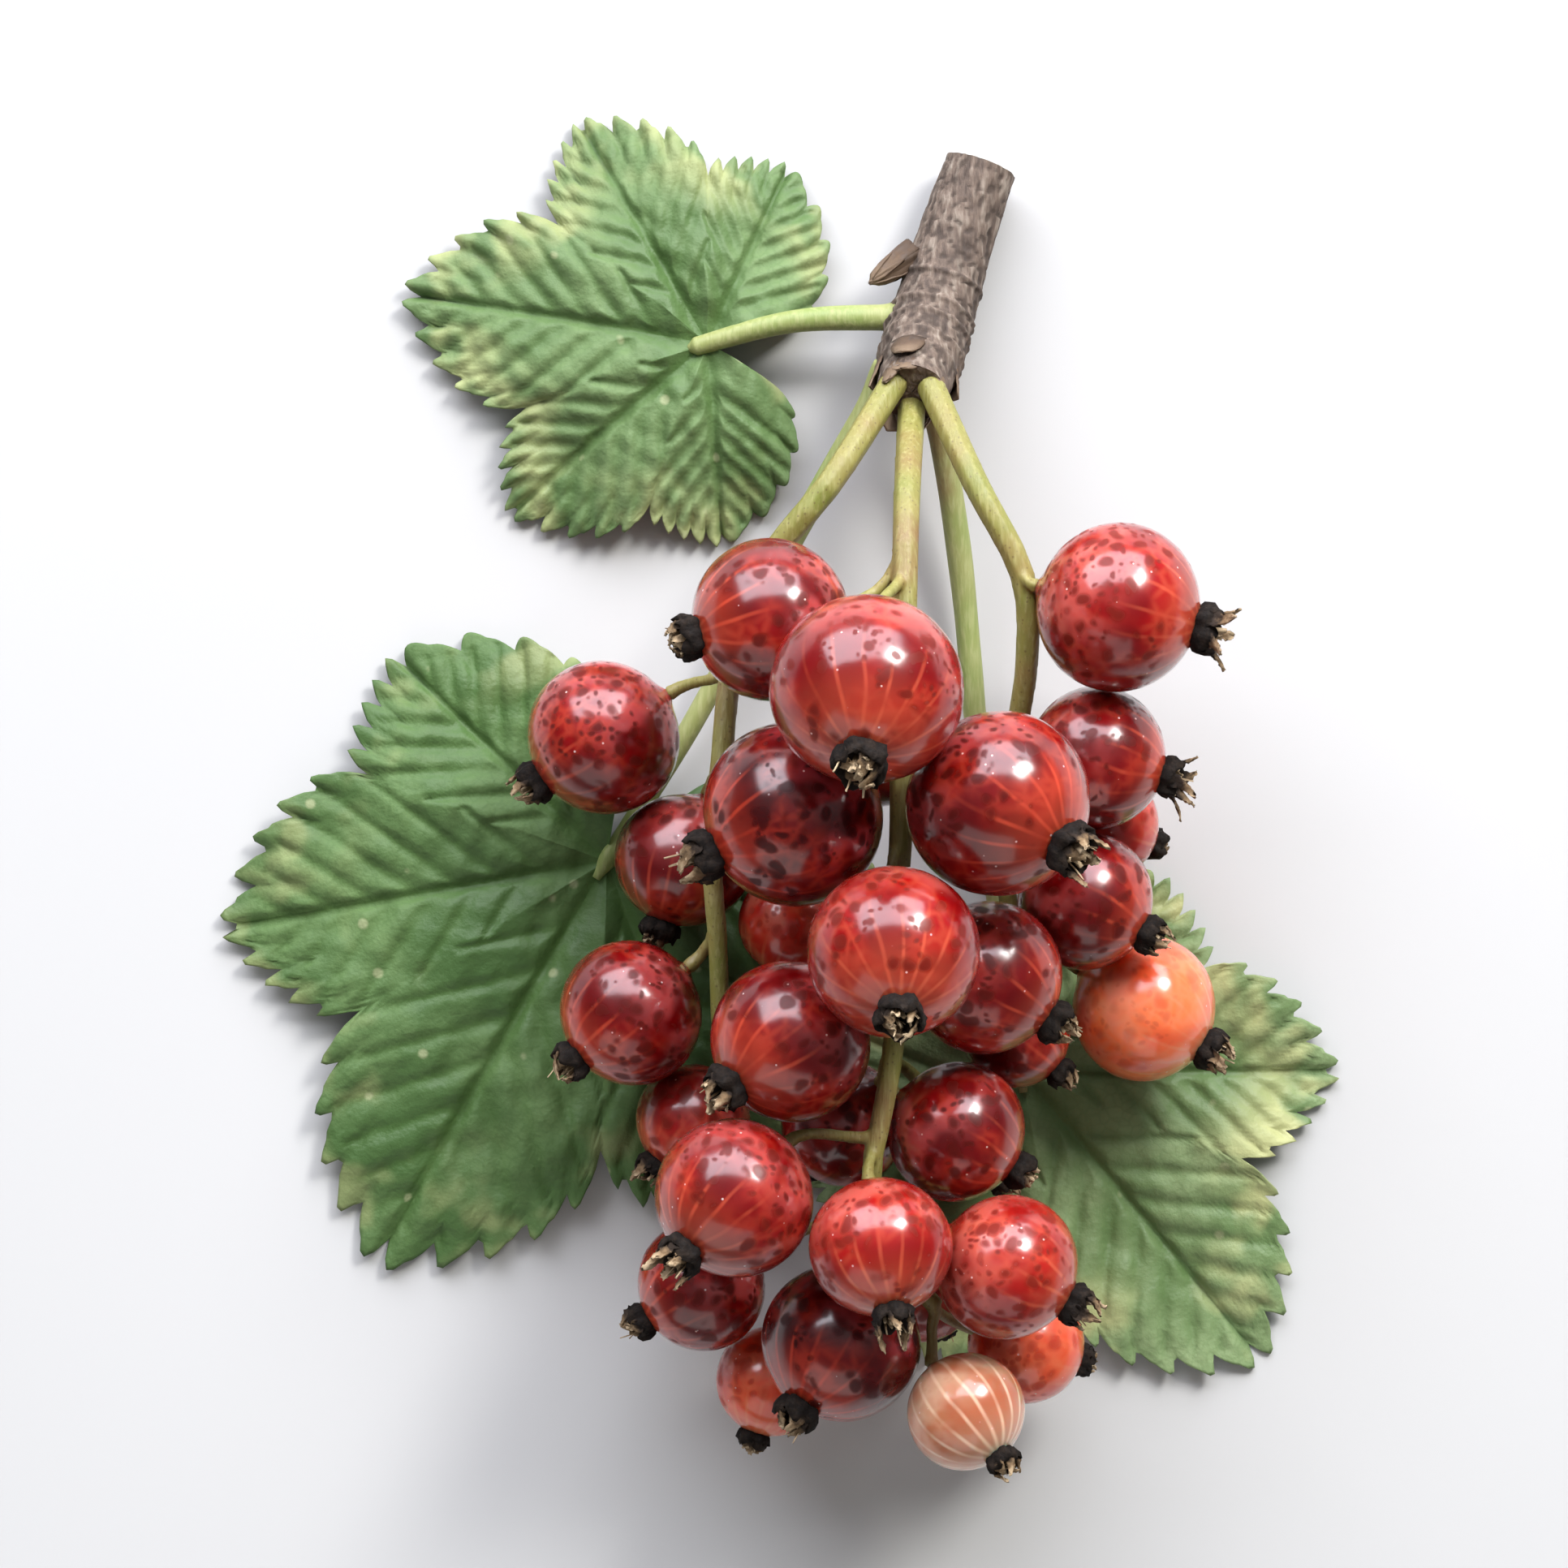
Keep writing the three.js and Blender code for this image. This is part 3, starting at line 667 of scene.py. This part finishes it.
def add_flake(shape, line, sideways, halves, thickness, rng, dry):
    """A shrivelled strip along a line, as wide as twice halves, curled across its width."""
    turns = full_turn(FLAKE_SIDES)[None, :]
    halves = halves[:, None]
    normals = np.cross(np.gradient(line, axis=0), sideways)
    normals /= np.linalg.norm(normals, axis=1)[:, None]
    curl = rng.uniform(-0.7, 0.7)
    across = np.cos(turns) * halves
    up = np.sin(turns) * thickness * halves + curl * np.cos(turns) ** 2 * halves
    rings = line[:, None, :] + across[:, :, None] * sideways + up[:, :, None] * normals[:, None, :]
    points = rings.reshape(-1, 3)
    points = points + rng.normal(0.0, 0.09 * halves.max(), points.shape)
    shape.add(points, capped(len(line), FLAKE_SIDES), 1, dry=np.repeat(dry, FLAKE_SIDES))


def add_sepals(shape, radius, rng, splay):
    """Shrivelled sepals. splay goes from 0, closed over the middle, to 1, spread wide."""
    width = FLOWER["width"] * radius
    foot = POLAR_SHARE * radius
    share = np.linspace(0.0, 1.0, SEPAL_STEPS)
    for sepal in range(SEPALS):
        turn = 2.0 * math.pi * (sepal + rng.uniform(-0.25, 0.25)) / SEPALS
        outward, sideways = around_axis(turn)
        length = FLOWER["length"] * radius * rng.uniform(0.5, 0.85) * between(1.0, 1.5, splay)
        lean = between(-0.75, 0.8, splay) + rng.uniform(-0.35, 0.35)
        twist = rng.uniform(-0.45, 0.45)
        reach = width * 0.82 + length * lean * share**1.5
        rise = 0.12 * radius + length * share * (1.0 - 0.3 * abs(lean) * share)
        line = (outward * reach[:, None] + sideways * (twist * length * share**2)[:, None]
                + UP * (foot + rise)[:, None])
        halves = width * between(0.42, 0.1, share**1.3) * rng.uniform(0.7, 1.15, SEPAL_STEPS)
        dry = np.clip(between(0.05, 0.95, share**0.8) + rng.uniform(-0.15, 0.1), 0.0, 1.0)
        add_flake(shape, line, sideways, halves, 0.3, rng, dry)


def add_bits(shape, radius, rng):
    """The dry petals, stamens and style inside the sepals."""
    width = FLOWER["width"] * radius
    share = np.linspace(0.0, 1.0, BIT_STEPS)
    for number in range(BITS["all"]):
        outward, sideways = around_axis(rng.uniform(0.0, ABOUT_A_TURN))
        start = width * rng.uniform(0.1, 0.6)
        lean = width * rng.uniform(-0.3, 0.35)
        curl = width * rng.uniform(-0.3, 0.3)
        length = FLOWER["length"] * radius * rng.uniform(0.4, 0.8) * (1.5 if number < BITS["long"] else 1.0)
        rise = POLAR_SHARE * radius + 0.03 * radius + length * share
        line = (outward * (start + lean * share**1.5)[:, None] + sideways * (curl * share**2)[:, None]
                + UP * rise[:, None])
        foot_half = 0.07 if number < BITS["thin"] else rng.uniform(0.13, 0.24)
        halves = width * foot_half * between(1.0, 0.55, share) * rng.uniform(0.8, 1.2, BIT_STEPS)
        add_flake(shape, line, sideways, halves, 0.45, rng, np.clip(between(0.25, 1.05, share), 0.0, 1.0))


def add_thread(shape, radius, rng):
    """One dry stamen, long and thin, that hangs out of the flower."""
    share = np.linspace(0.0, 1.0, THREAD_STEPS)
    out = FLOWER["width"] * radius * (0.75 + 0.35 * share)
    rise = radius * (1.05 + 0.42 * share - 0.1 * share**2)
    line = np.column_stack([out, 0.08 * np.sin(5.0 * share), rise])
    _, sideways = around_axis(0.0)
    halves = np.full(THREAD_STEPS, THREAD_RADIUS)
    add_flake(shape, line, sideways, halves, 0.9, rng, np.ones(THREAD_STEPS))


def make_berry(node, number, materials):
    middle, axis, radius = berry_facts(node)
    rng = np.random.default_rng(BERRY_SEED + number)
    shape = Shape()
    add_skin(shape, radius, number + 1, RIPENESS.get(node, USUAL_RIPENESS))
    add_cup(shape, radius, rng)
    splay = WIDE_SPLAY if node in SPLAYED else rng.uniform(0.0, 0.5)
    add_sepals(shape, radius, rng, splay)
    add_bits(shape, radius, rng)
    if node == THREADED:
        add_thread(shape, radius, rng)
    piece = shape.make(node + "_fruit", materials)
    spin = Matrix.Rotation(rng.uniform(0.0, ABOUT_A_TURN), 4, "Z")
    tilt = Vector(UP).rotation_difference(Vector(axis)).to_matrix().to_4x4()
    piece.matrix_world = Matrix.Translation(Vector(middle * MM)) @ tilt @ spin
    stand_for(piece, node)


# Strigs


def make_strig(node, material):
    """A smooth copy of a strig's solid."""
    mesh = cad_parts[node].data.copy()
    work = bmesh.new()
    work.from_mesh(mesh)
    bmesh.ops.remove_doubles(work, verts=work.verts, dist=0.002 * MM)
    work.to_mesh(mesh)
    work.free()
    piece = bpy.data.objects.new(node + "_stalk", mesh)
    bpy.context.scene.collection.objects.link(piece)
    remesh = piece.modifiers.new("even", "REMESH")
    remesh.mode = "VOXEL"
    remesh.voxel_size = STRIG_VOXEL * MM
    soften = piece.modifiers.new("soften", "SMOOTH")
    soften.factor = STRIG_SMOOTHING["factor"]
    soften.iterations = STRIG_SMOOTHING["iterations"]
    fill = piece.modifiers.new("fill", "DISPLACE")
    fill.strength = STRIG_FILL * MM
    fill.mid_level = 0.0
    shaped = bpy.data.meshes.new_from_object(piece.evaluated_get(bpy.context.evaluated_depsgraph_get()))
    piece.modifiers.clear()
    piece.data = shaped
    shaped.materials.clear()
    shaped.materials.append(material)
    shaped.polygons.foreach_set("use_smooth", [True] * len(shaped.polygons))
    stand_for(piece, node)


# Leaves


def outline_stretch(degrees):
    """For each angle from the midrib, its lobe's reach, its sinus's reach and how near it is to the tip."""
    angle = np.abs(degrees)
    limits = np.array([limit for limit, _ in OUTLINE], dtype=float)
    reaches = np.array([reach for _, reach in OUTLINE])
    after = np.clip(np.searchsorted(limits, angle), 1, len(OUTLINE) - 1)
    share = (angle - limits[after - 1]) / (limits[after] - limits[after - 1])
    first, second = reaches[after - 1], reaches[after]
    near_tip = np.where(first > second, 1.0 - share, share)
    return np.maximum(first, second), np.minimum(first, second), np.clip(near_tip, 0.0, 1.0)


def reach_at(degrees):
    tip, sinus, near_tip = outline_stretch(degrees)
    return between(sinus, tip, near_tip**LOBE_POINTEDNESS)


def tooth_at(degrees):
    """The height of the leaf's teeth, from 0 to 1: round scallops that lean towards the tip of each lobe."""
    _, _, near_tip = outline_stretch(degrees)
    coarse = (near_tip * TEETH_PER_STRETCH) % 1.0
    fine = (near_tip * TEETH_PER_STRETCH * 2.0 + 0.2) % 1.0
    scallop = np.sin(math.pi * coarse**1.5) ** 0.7
    return 0.8 * scallop + 0.2 * np.sin(math.pi * fine**1.3) ** 0.7


def side_vein_end(start, angle, lean, limits, length):
    """Where a side vein that leaves a lobe's vein at start meets the margin or the next lobe."""
    step = VEIN_STEP * np.array([math.cos(lean), math.sin(lean)])
    at = start.copy()
    for _ in range(VEIN_MOST_STEPS):
        at = at + step
        heading = math.degrees(math.atan2(at[1], at[0]))
        if angle:
            heading *= math.copysign(1, angle)
        outside = np.hypot(*at) > 0.95 * length * reach_at(np.array([heading]))[0]
        if outside or not limits[0] <= heading <= limits[1]:
            break
    return at


def vein_lines(length):
    """The veins as straight stretches: their ends in the leaf's plane, with a weight from 0 to 1."""
    stretches = []
    sinuses = [angle for angle, _ in OUTLINE[1::2]]
    limits = list(zip([-sinuses[0], *sinuses], sinuses))
    lobes = [(sign * angle, reach, limit) for (angle, reach), limit in zip(OUTLINE[::2], limits)
             for sign in ((1, -1) if angle else (1,))]
    shares = np.arange(SIDE_VEINS["first"], SIDE_VEINS["last"], SIDE_VEINS["apart"])
    for angle, reach, limit in lobes:
        along = np.array([math.cos(math.radians(angle)), math.sin(math.radians(angle))])
        end = along * reach * length * 0.97
        stretches.append((np.zeros(2), end, 1.0))
        for share in shares:
            for side in (1, -1):
                lean = math.radians(angle + side * between(*SIDE_VEIN_LEAN, share))
                start = end * (share + SIDE_VEINS["stagger"] * side)
                tip = side_vein_end(start, angle, lean, limit, length)
                stretches.append((start, tip, SIDE_VEINS["weight"]))
    return stretches


def vein_depth(points, length):
    """How deep in a vein each point of the leaf's plane is, from 0 to 1."""
    depth = np.zeros(len(points))
    for start, end, weight in vein_lines(length):
        run = end - start
        share = np.clip((points - start) @ run / (run @ run), 0.0, 1.0)
        away = np.linalg.norm(points - start - share[:, None] * run, axis=1)
        width = between(*VEIN_WIDTHS, share) * (0.55 + 0.45 * weight)
        depth = np.maximum(depth, weight * np.exp(-((away / width) ** 2)))
    return depth


def blade_faces(columns):
    """Faces of a blade: upper and lower sheets, the margin, both edges at the stalk and the middle."""
    total = LEAF_RINGS * columns
    sheet = grid_faces(LEAF_RINGS, columns, closed=False)
    faces = [face[::-1] for face in sheet] + [tuple(total + corner for corner in face) for face in sheet]
    last = (LEAF_RINGS - 1) * columns
    for column in range(columns - 1):
        a, b = last + column, last + column + 1
        faces.append((a, a + total, b + total, b))
    for column, order in ((0, 1), (columns - 1, -1)):
        for row in range(LEAF_RINGS - 1):
            a, b = row * columns + column, (row + 1) * columns + column
            faces.append((a, a + total, b + total, b)[::-order])
    upper_middle, lower_middle = 2 * total, 2 * total + 1
    first = tuple(range(columns))
    faces += [(upper_middle, a, b) for a, b in zip(first, first[1:])]
    faces += [(lower_middle, total + b, total + a) for a, b in zip(first, first[1:])]
    faces.append((upper_middle, lower_middle, total, 0))
    faces.append((upper_middle, columns - 1, total + columns - 1, lower_middle))
    return faces


def on_both_sheets(values, in_the_middle):
    return np.concatenate([values, values, [in_the_middle, in_the_middle]])


def add_blade(shape, leaf, seed):
    """The blade: both faces of a lobed, toothed sheet, quilted between its veins."""
    columns = LEAF_SPOKES + 1
    widest = OUTLINE[-1][0]
    degrees = np.linspace(-widest, widest, columns)
    shares = np.linspace(0.0, 1.0, LEAF_RINGS + 1)[1:]
    share, angle = (grid.ravel() for grid in np.meshgrid(shares, degrees, indexing="ij"))
    teeth = TOOTH_DEPTH * (tooth_at(angle) - TOOTH_MIDDLE) * smooth_step(share, 0.72, 1.0)
    reach = leaf["length"] * reach_at(angle) * share * (1.0 + teeth)
    plane = np.column_stack([reach * np.cos(np.radians(angle)), reach * np.sin(np.radians(angle))])
    _, _, near_tip = outline_stretch(angle)
    x, y, base = leaf["base"]
    margin_height = MARGIN_HEIGHT + LOBE_LIFT * (1.0 - near_tip)
    height = between(base, margin_height, share) + leaf["arch"] * 4.0 * share * (1.0 - share)
    vein = vein_depth(plane, leaf["length"])
    quilt = QUILT * (1.0 - vein) * smooth_step(share, 0.05, 0.3)
    buckle = BUCKLE["height"] * waves(plane, seed, BUCKLE["size"]) * smooth_step(share, 0.1, 0.8)
    crinkle = CRINKLE["height"] * waves(plane, seed + 1, CRINKLE["size"], CRINKLE["count"])
    top = height + quilt + buckle + crinkle - VEIN_SINK * vein
    bottom = np.maximum(top - LEAF_THICKNESS - VEIN_RIDGE * vein, FLOOR_GAP)
    top = np.maximum(top, bottom + LEAF_THICKNESS / 2.0)
    turn = math.radians(leaf["heading"])
    east = x + plane[:, 0] * math.cos(turn) - plane[:, 1] * math.sin(turn)
    north = y + plane[:, 0] * math.sin(turn) + plane[:, 1] * math.cos(turn)
    upper = np.column_stack([east, north, top])
    lower = np.column_stack([east, north, bottom])
    middle = np.array([[x, y, top[:columns].mean()], [x, y, bottom[:columns].mean()]])
    shape.add(np.vstack([upper, lower, middle]) + SHIFT, blade_faces(columns), 0,
              vein=on_both_sheets(vein, 1.0), margin=on_both_sheets(share, 0.0), tone=leaf["tone"])


def add_petiole(shape, leaf, seed):
    """The leaf's stalk, slightly uneven, with a foot that spreads where it joins the twig."""
    places = [np.array(place) for place in (*leaf["petiole"], leaf["base"])]
    places[0] = places[0] + PETIOLE_REACH * unit(np.array(leaf["joins"]) - places[0])
    places[-1] = places[-1] + PETIOLE_ONWARD * unit(places[-1] - places[-2])
    line = smooth_line(places, PETIOLE_STEPS)
    share = np.linspace(0.0, 1.0, PETIOLE_STEPS + 1)
    foot = PETIOLE_FOOT["swell"] * np.exp(-((share / PETIOLE_FOOT["share"]) ** 2))
    radii = between(*PETIOLE_RADII, share) * 0.92 + foot
    radii *= 1.0 - 0.55 * smooth_step(share, 0.96, 1.0)
    radii *= 1.0 + 0.03 * waves(line, seed, 6.0)
    points = tube(line, radii, PETIOLE_SIDES)
    points[:, 2] = np.maximum(points[:, 2], FLOOR_GAP)
    shape.add(points + SHIFT, capped(PETIOLE_STEPS + 1, PETIOLE_SIDES), 1)


def make_leaf(node, leaf, seed, materials):
    shape = Shape()
    add_blade(shape, leaf, seed)
    add_petiole(shape, leaf, seed)
    stand_for(shape.make(node + "_blade", materials), node)


# Twig


def bark_height(turn, along):
    """How far the bark stands out or in, from about -1 to 1: cracks, ridges and raised pores."""
    heights = np.empty(len(turn))
    for index, (around, down) in enumerate(zip(turn, along)):
        stretched = Vector((math.cos(around) * 3.2, math.sin(around) * 3.2, down * 0.45))
        ridge = noise.fractal(stretched, 0.9, 2.1, 4)
        crack = 1.0 - abs(noise.noise(stretched * 1.7 + Vector((7.0, 3.0, 1.0)))) * 6.0
        cell = Vector((around * 1.9, down * 0.55, 5.0))
        pore = 1.0 - noise.voronoi(cell)[0][0] * 5.5
        heights[index] = 0.55 * ridge - 0.8 * max(0.0, crack) + 1.1 * max(0.0, pore)
    return heights


def twig_radius(share):
    narrow = between(TWIG_RADII["cut"], TWIG_RADII["spur"], share / SPUR_SHARE)
    ending = between(TWIG_RADII["spur"], TWIG_RADII["tip"], (share - SPUR_SHARE) / (1.0 - SPUR_SHARE))
    scars = sum(SCAR_HEIGHT * np.exp(-(((share - place) / SCAR_WIDTH) ** 2)) for place in SCAR_RINGS)
    return np.where(share < SPUR_SHARE, narrow, ending) * 0.97 + scars


def add_stem(shape):
    """The twig's bark, with a face across each end. Only the first end shows cut wood."""
    line = smooth_line(TWIG_LINE, TWIG_STEPS)
    share = np.linspace(0.0, 1.0, TWIG_STEPS + 1)
    length = np.linalg.norm(np.diff(line, axis=0), axis=1).sum()
    points = tube(line, twig_radius(share), TWIG_SIDES)
    centres = np.repeat(line, TWIG_SIDES, axis=0)
    turn = np.tile(full_turn(TWIG_SIDES), TWIG_STEPS + 1)
    height = bark_height(turn, np.repeat(share * length, TWIG_SIDES))
    outward = (points - centres) / np.linalg.norm(points - centres, axis=1)[:, None]
    points = points + outward * (BARK_RELIEF * height)[:, None]
    points[:, 2] = np.maximum(points[:, 2], FLOOR_GAP)
    shape.add(points + SHIFT, grid_faces(TWIG_STEPS + 1, TWIG_SIDES), 0, height=height, cut=0.0, across=1.0)
    for end, order in ((0, 1), (TWIG_STEPS, -1)):
        add_end(shape, points[end * TWIG_SIDES:(end + 1) * TWIG_SIDES], line[end], order, cut=float(end == 0))


def add_end(shape, rim, centre, order, cut):
    """A slightly rough face across an end of the twig."""
    shares = np.linspace(1.0, 0.0, END_ROWS)[:-1]
    rings = [centre + (rim - centre) * share for share in shares]
    points = np.vstack(rings + [centre[None, :]])
    across = np.concatenate([np.repeat(shares, TWIG_SIDES), [0.0]])
    rough = np.random.default_rng(END_SEED).normal(0.0, END_ROUGHNESS, (len(points), 3))
    points[TWIG_SIDES:] += rough[TWIG_SIDES:]
    faces = grid_faces(END_ROWS - 1, TWIG_SIDES)
    last = (END_ROWS - 2) * TWIG_SIDES
    middle = len(points) - 1
    faces += [(last + side, last + (side + 1) % TWIG_SIDES, middle) for side in range(TWIG_SIDES)]
    shape.add(points + SHIFT, [face[::-order] for face in faces], 0, cut=cut, across=across, height=0.0)


def add_spur_scales(shape, line, rng):
    """Old bud scales around the spur's end, hugging the feet of the strigs."""
    sides, ups = line_frames(line)
    axis = unit(line[-1] - line[-4])
    for ring in SCALE_RINGS:
        for number in range(ring["count"]):
            turn = 2.0 * math.pi * (number + rng.uniform(-0.4, 0.4)) / ring["count"]
            outward = math.cos(turn) * sides[-1] + math.sin(turn) * ups[-1]
            foot = line[-1] - axis * ring["back"] + outward * ring["radius"] * 0.95
            foot = foot + axis * rng.uniform(-0.6, 0.4)
            length = ring["length"] * rng.uniform(0.65, 1.1)
            width = rng.uniform(0.85, 1.3)
            add_scale(shape, foot, axis, outward, rng, length, width, ring["flare"] + rng.uniform(-0.1, 0.25))


def add_side_bud(shape, line, rng):
    """A closed bud on the twig's side."""
    bud = SIDE_BUD
    sides, _ = line_frames(line)
    aside = sides[bud["step"]]
    spot = line[bud["step"]] + aside * bud["out"]
    lean = unit(aside * bud["lean"] + (line[bud["points_to"]] - line[bud["step"]]))
    across = np.cross(lean, aside)
    for turn in np.arange(0.0, ABOUT_A_TURN, ABOUT_A_TURN / bud["scales"]):
        outward = math.cos(turn) * unit(across) + math.sin(turn) * unit(np.cross(across, lean))
        foot = spot + outward * bud["radius"] - lean * bud["sunk"]
        add_scale(shape, foot, lean, outward, rng, **SIDE_BUD_SCALE)


def add_scale(shape, foot, axis, outward, rng, length, width, flare):
    """One scale: a thin, cupped, pointed flake. flare is how far its tip leans outward."""
    rows = columns = SCALE_ROWS
    sideways = np.cross(axis, outward)
    share = np.linspace(0.0, 1.0, rows)
    across = np.linspace(-1.0, 1.0, columns)
    half = width * np.sqrt(np.clip(1.0 - share**2.2, 0.0004, None))
    cup = -0.34 * width * across**2
    lines = []
    for thickness in (SCALE_THICKNESS, 0.0):
        for row in range(rows):
            reach = flare * share[row] ** 1.7 + thickness
            lines.append(foot + axis * (length * share[row])
                         + outward * (reach + cup * half[row] / width)[:, None]
                         + sideways * (across * half[row])[:, None])
    points = np.vstack(lines) + rng.normal(0.0, SCALE_ROUGHNESS, (2 * rows * columns, 3))
    sheet = grid_faces(rows, columns, closed=False)
    total = rows * columns
    faces = [face[::-1] for face in sheet] + [tuple(total + corner for corner in face) for face in sheet]
    edge = ([(0, column) for column in range(columns)] + [(row, columns - 1) for row in range(1, rows)]
            + [(rows - 1, column) for column in range(columns - 2, -1, -1)]
            + [(row, 0) for row in range(rows - 2, 0, -1)])
    for (row, column), (next_row, next_column) in zip(edge, edge[1:] + edge[:1]):
        a, b = row * columns + column, next_row * columns + next_column
        faces.append((a, b, b + total, a + total))
    shape.add(points + SHIFT, faces, 1, along=np.tile(np.repeat(share, columns), 2))


def make_twig(materials):
    shape = Shape()
    add_stem(shape)
    line = smooth_line(TWIG_LINE, TWIG_STEPS)
    rng = np.random.default_rng(SCALE_SEED)
    add_spur_scales(shape, line, rng)
    add_side_bud(shape, line, rng)
    stand_for(shape.make("twig_wood", materials), "twig")


# The setting


def make_floor():
    s = Shader("pale_table")
    clouds = s.step(s.noise(s.place(), 9.0, 0.0), 0.3, 0.7)
    s.set(Base_Color=s.mix(clouds, solid(0.48, 0.48, 0.47), solid(0.52, 0.52, 0.51)), Roughness=0.7)
    bpy.ops.mesh.primitive_plane_add(size=FLOOR_SIDE)
    floor = bpy.context.object
    floor.name = "table"
    floor.data.materials.append(s.material)


def add_softbox(name, place, size, watts, colour):
    light = bpy.data.lights.new(name, "AREA")
    light.shape = "RECTANGLE"
    light.size, light.size_y = size
    light.energy = watts
    light.color = colour
    box = bpy.data.objects.new(name, light)
    box.location = place
    box.rotation_euler = (Vector(LIGHT_AIM) - Vector(place)).to_track_quat("-Z", "Y").to_euler()
    bpy.context.scene.collection.objects.link(box)


def make_world():
    """A soft dome, bright behind the twig and above, dim in front."""
    world = bpy.data.worlds.new("studio")
    world.use_nodes = True
    tree = world.node_tree
    direction = tree.nodes.new("ShaderNodeTexCoord").outputs["Generated"]
    facing = tree.nodes.new("ShaderNodeVectorMath")
    facing.operation = "DOT_PRODUCT"
    facing.inputs[1].default_value = DOME_BRIGHT_SIDE
    strength = tree.nodes.new("ShaderNodeMapRange")
    strength.interpolation_type = "SMOOTHSTEP"
    for name, value in DOME_STRENGTH.items():
        strength.inputs[name].default_value = value
    background = tree.nodes["Background"]
    background.inputs["Color"].default_value = DOME_COLOUR
    tree.links.new(direction, facing.inputs[0])
    tree.links.new(facing.outputs["Value"], strength.inputs["Value"])
    tree.links.new(strength.outputs[0], background.inputs["Strength"])
    bpy.context.scene.world = world


def make_lights():
    make_world()
    for name, softbox in SOFTBOXES.items():
        add_softbox(name, **softbox)


def make_camera():
    """Straight down, with the twig at the top, which shows the bunch as it hangs in the photograph."""
    camera = bpy.data.cameras.new("camera")
    camera.lens = CAMERA["lens"]
    camera.sensor_width = CAMERA["sensor"]
    camera.clip_start = CAMERA["nearest"]
    eye = bpy.data.objects.new("camera", camera)
    eye.location = (0.0, 0.0, CAMERA["height"])
    bpy.context.scene.collection.objects.link(eye)
    bpy.context.scene.camera = eye


def main():
    make_camera()
    berries = sorted(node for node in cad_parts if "_berry_" in node)
    berry_materials = [berry_material(), flower_material()]
    for number, node in enumerate(berries):
        make_berry(node, number, berry_materials)
    stalk = stalk_material()
    for node in ("strig_main", "strig_right", "strig_left"):
        make_strig(node, stalk)
    leaf_materials = [leaf_material(), petiole_material()]
    for number, (node, leaf) in enumerate(LEAVES.items()):
        make_leaf(node, leaf, LEAF_SEED + 3 * number, leaf_materials)
    make_twig([bark_material(), scale_material()])
    make_floor()
    make_lights()
    bpy.context.scene.view_settings.view_transform = "Standard"


main()
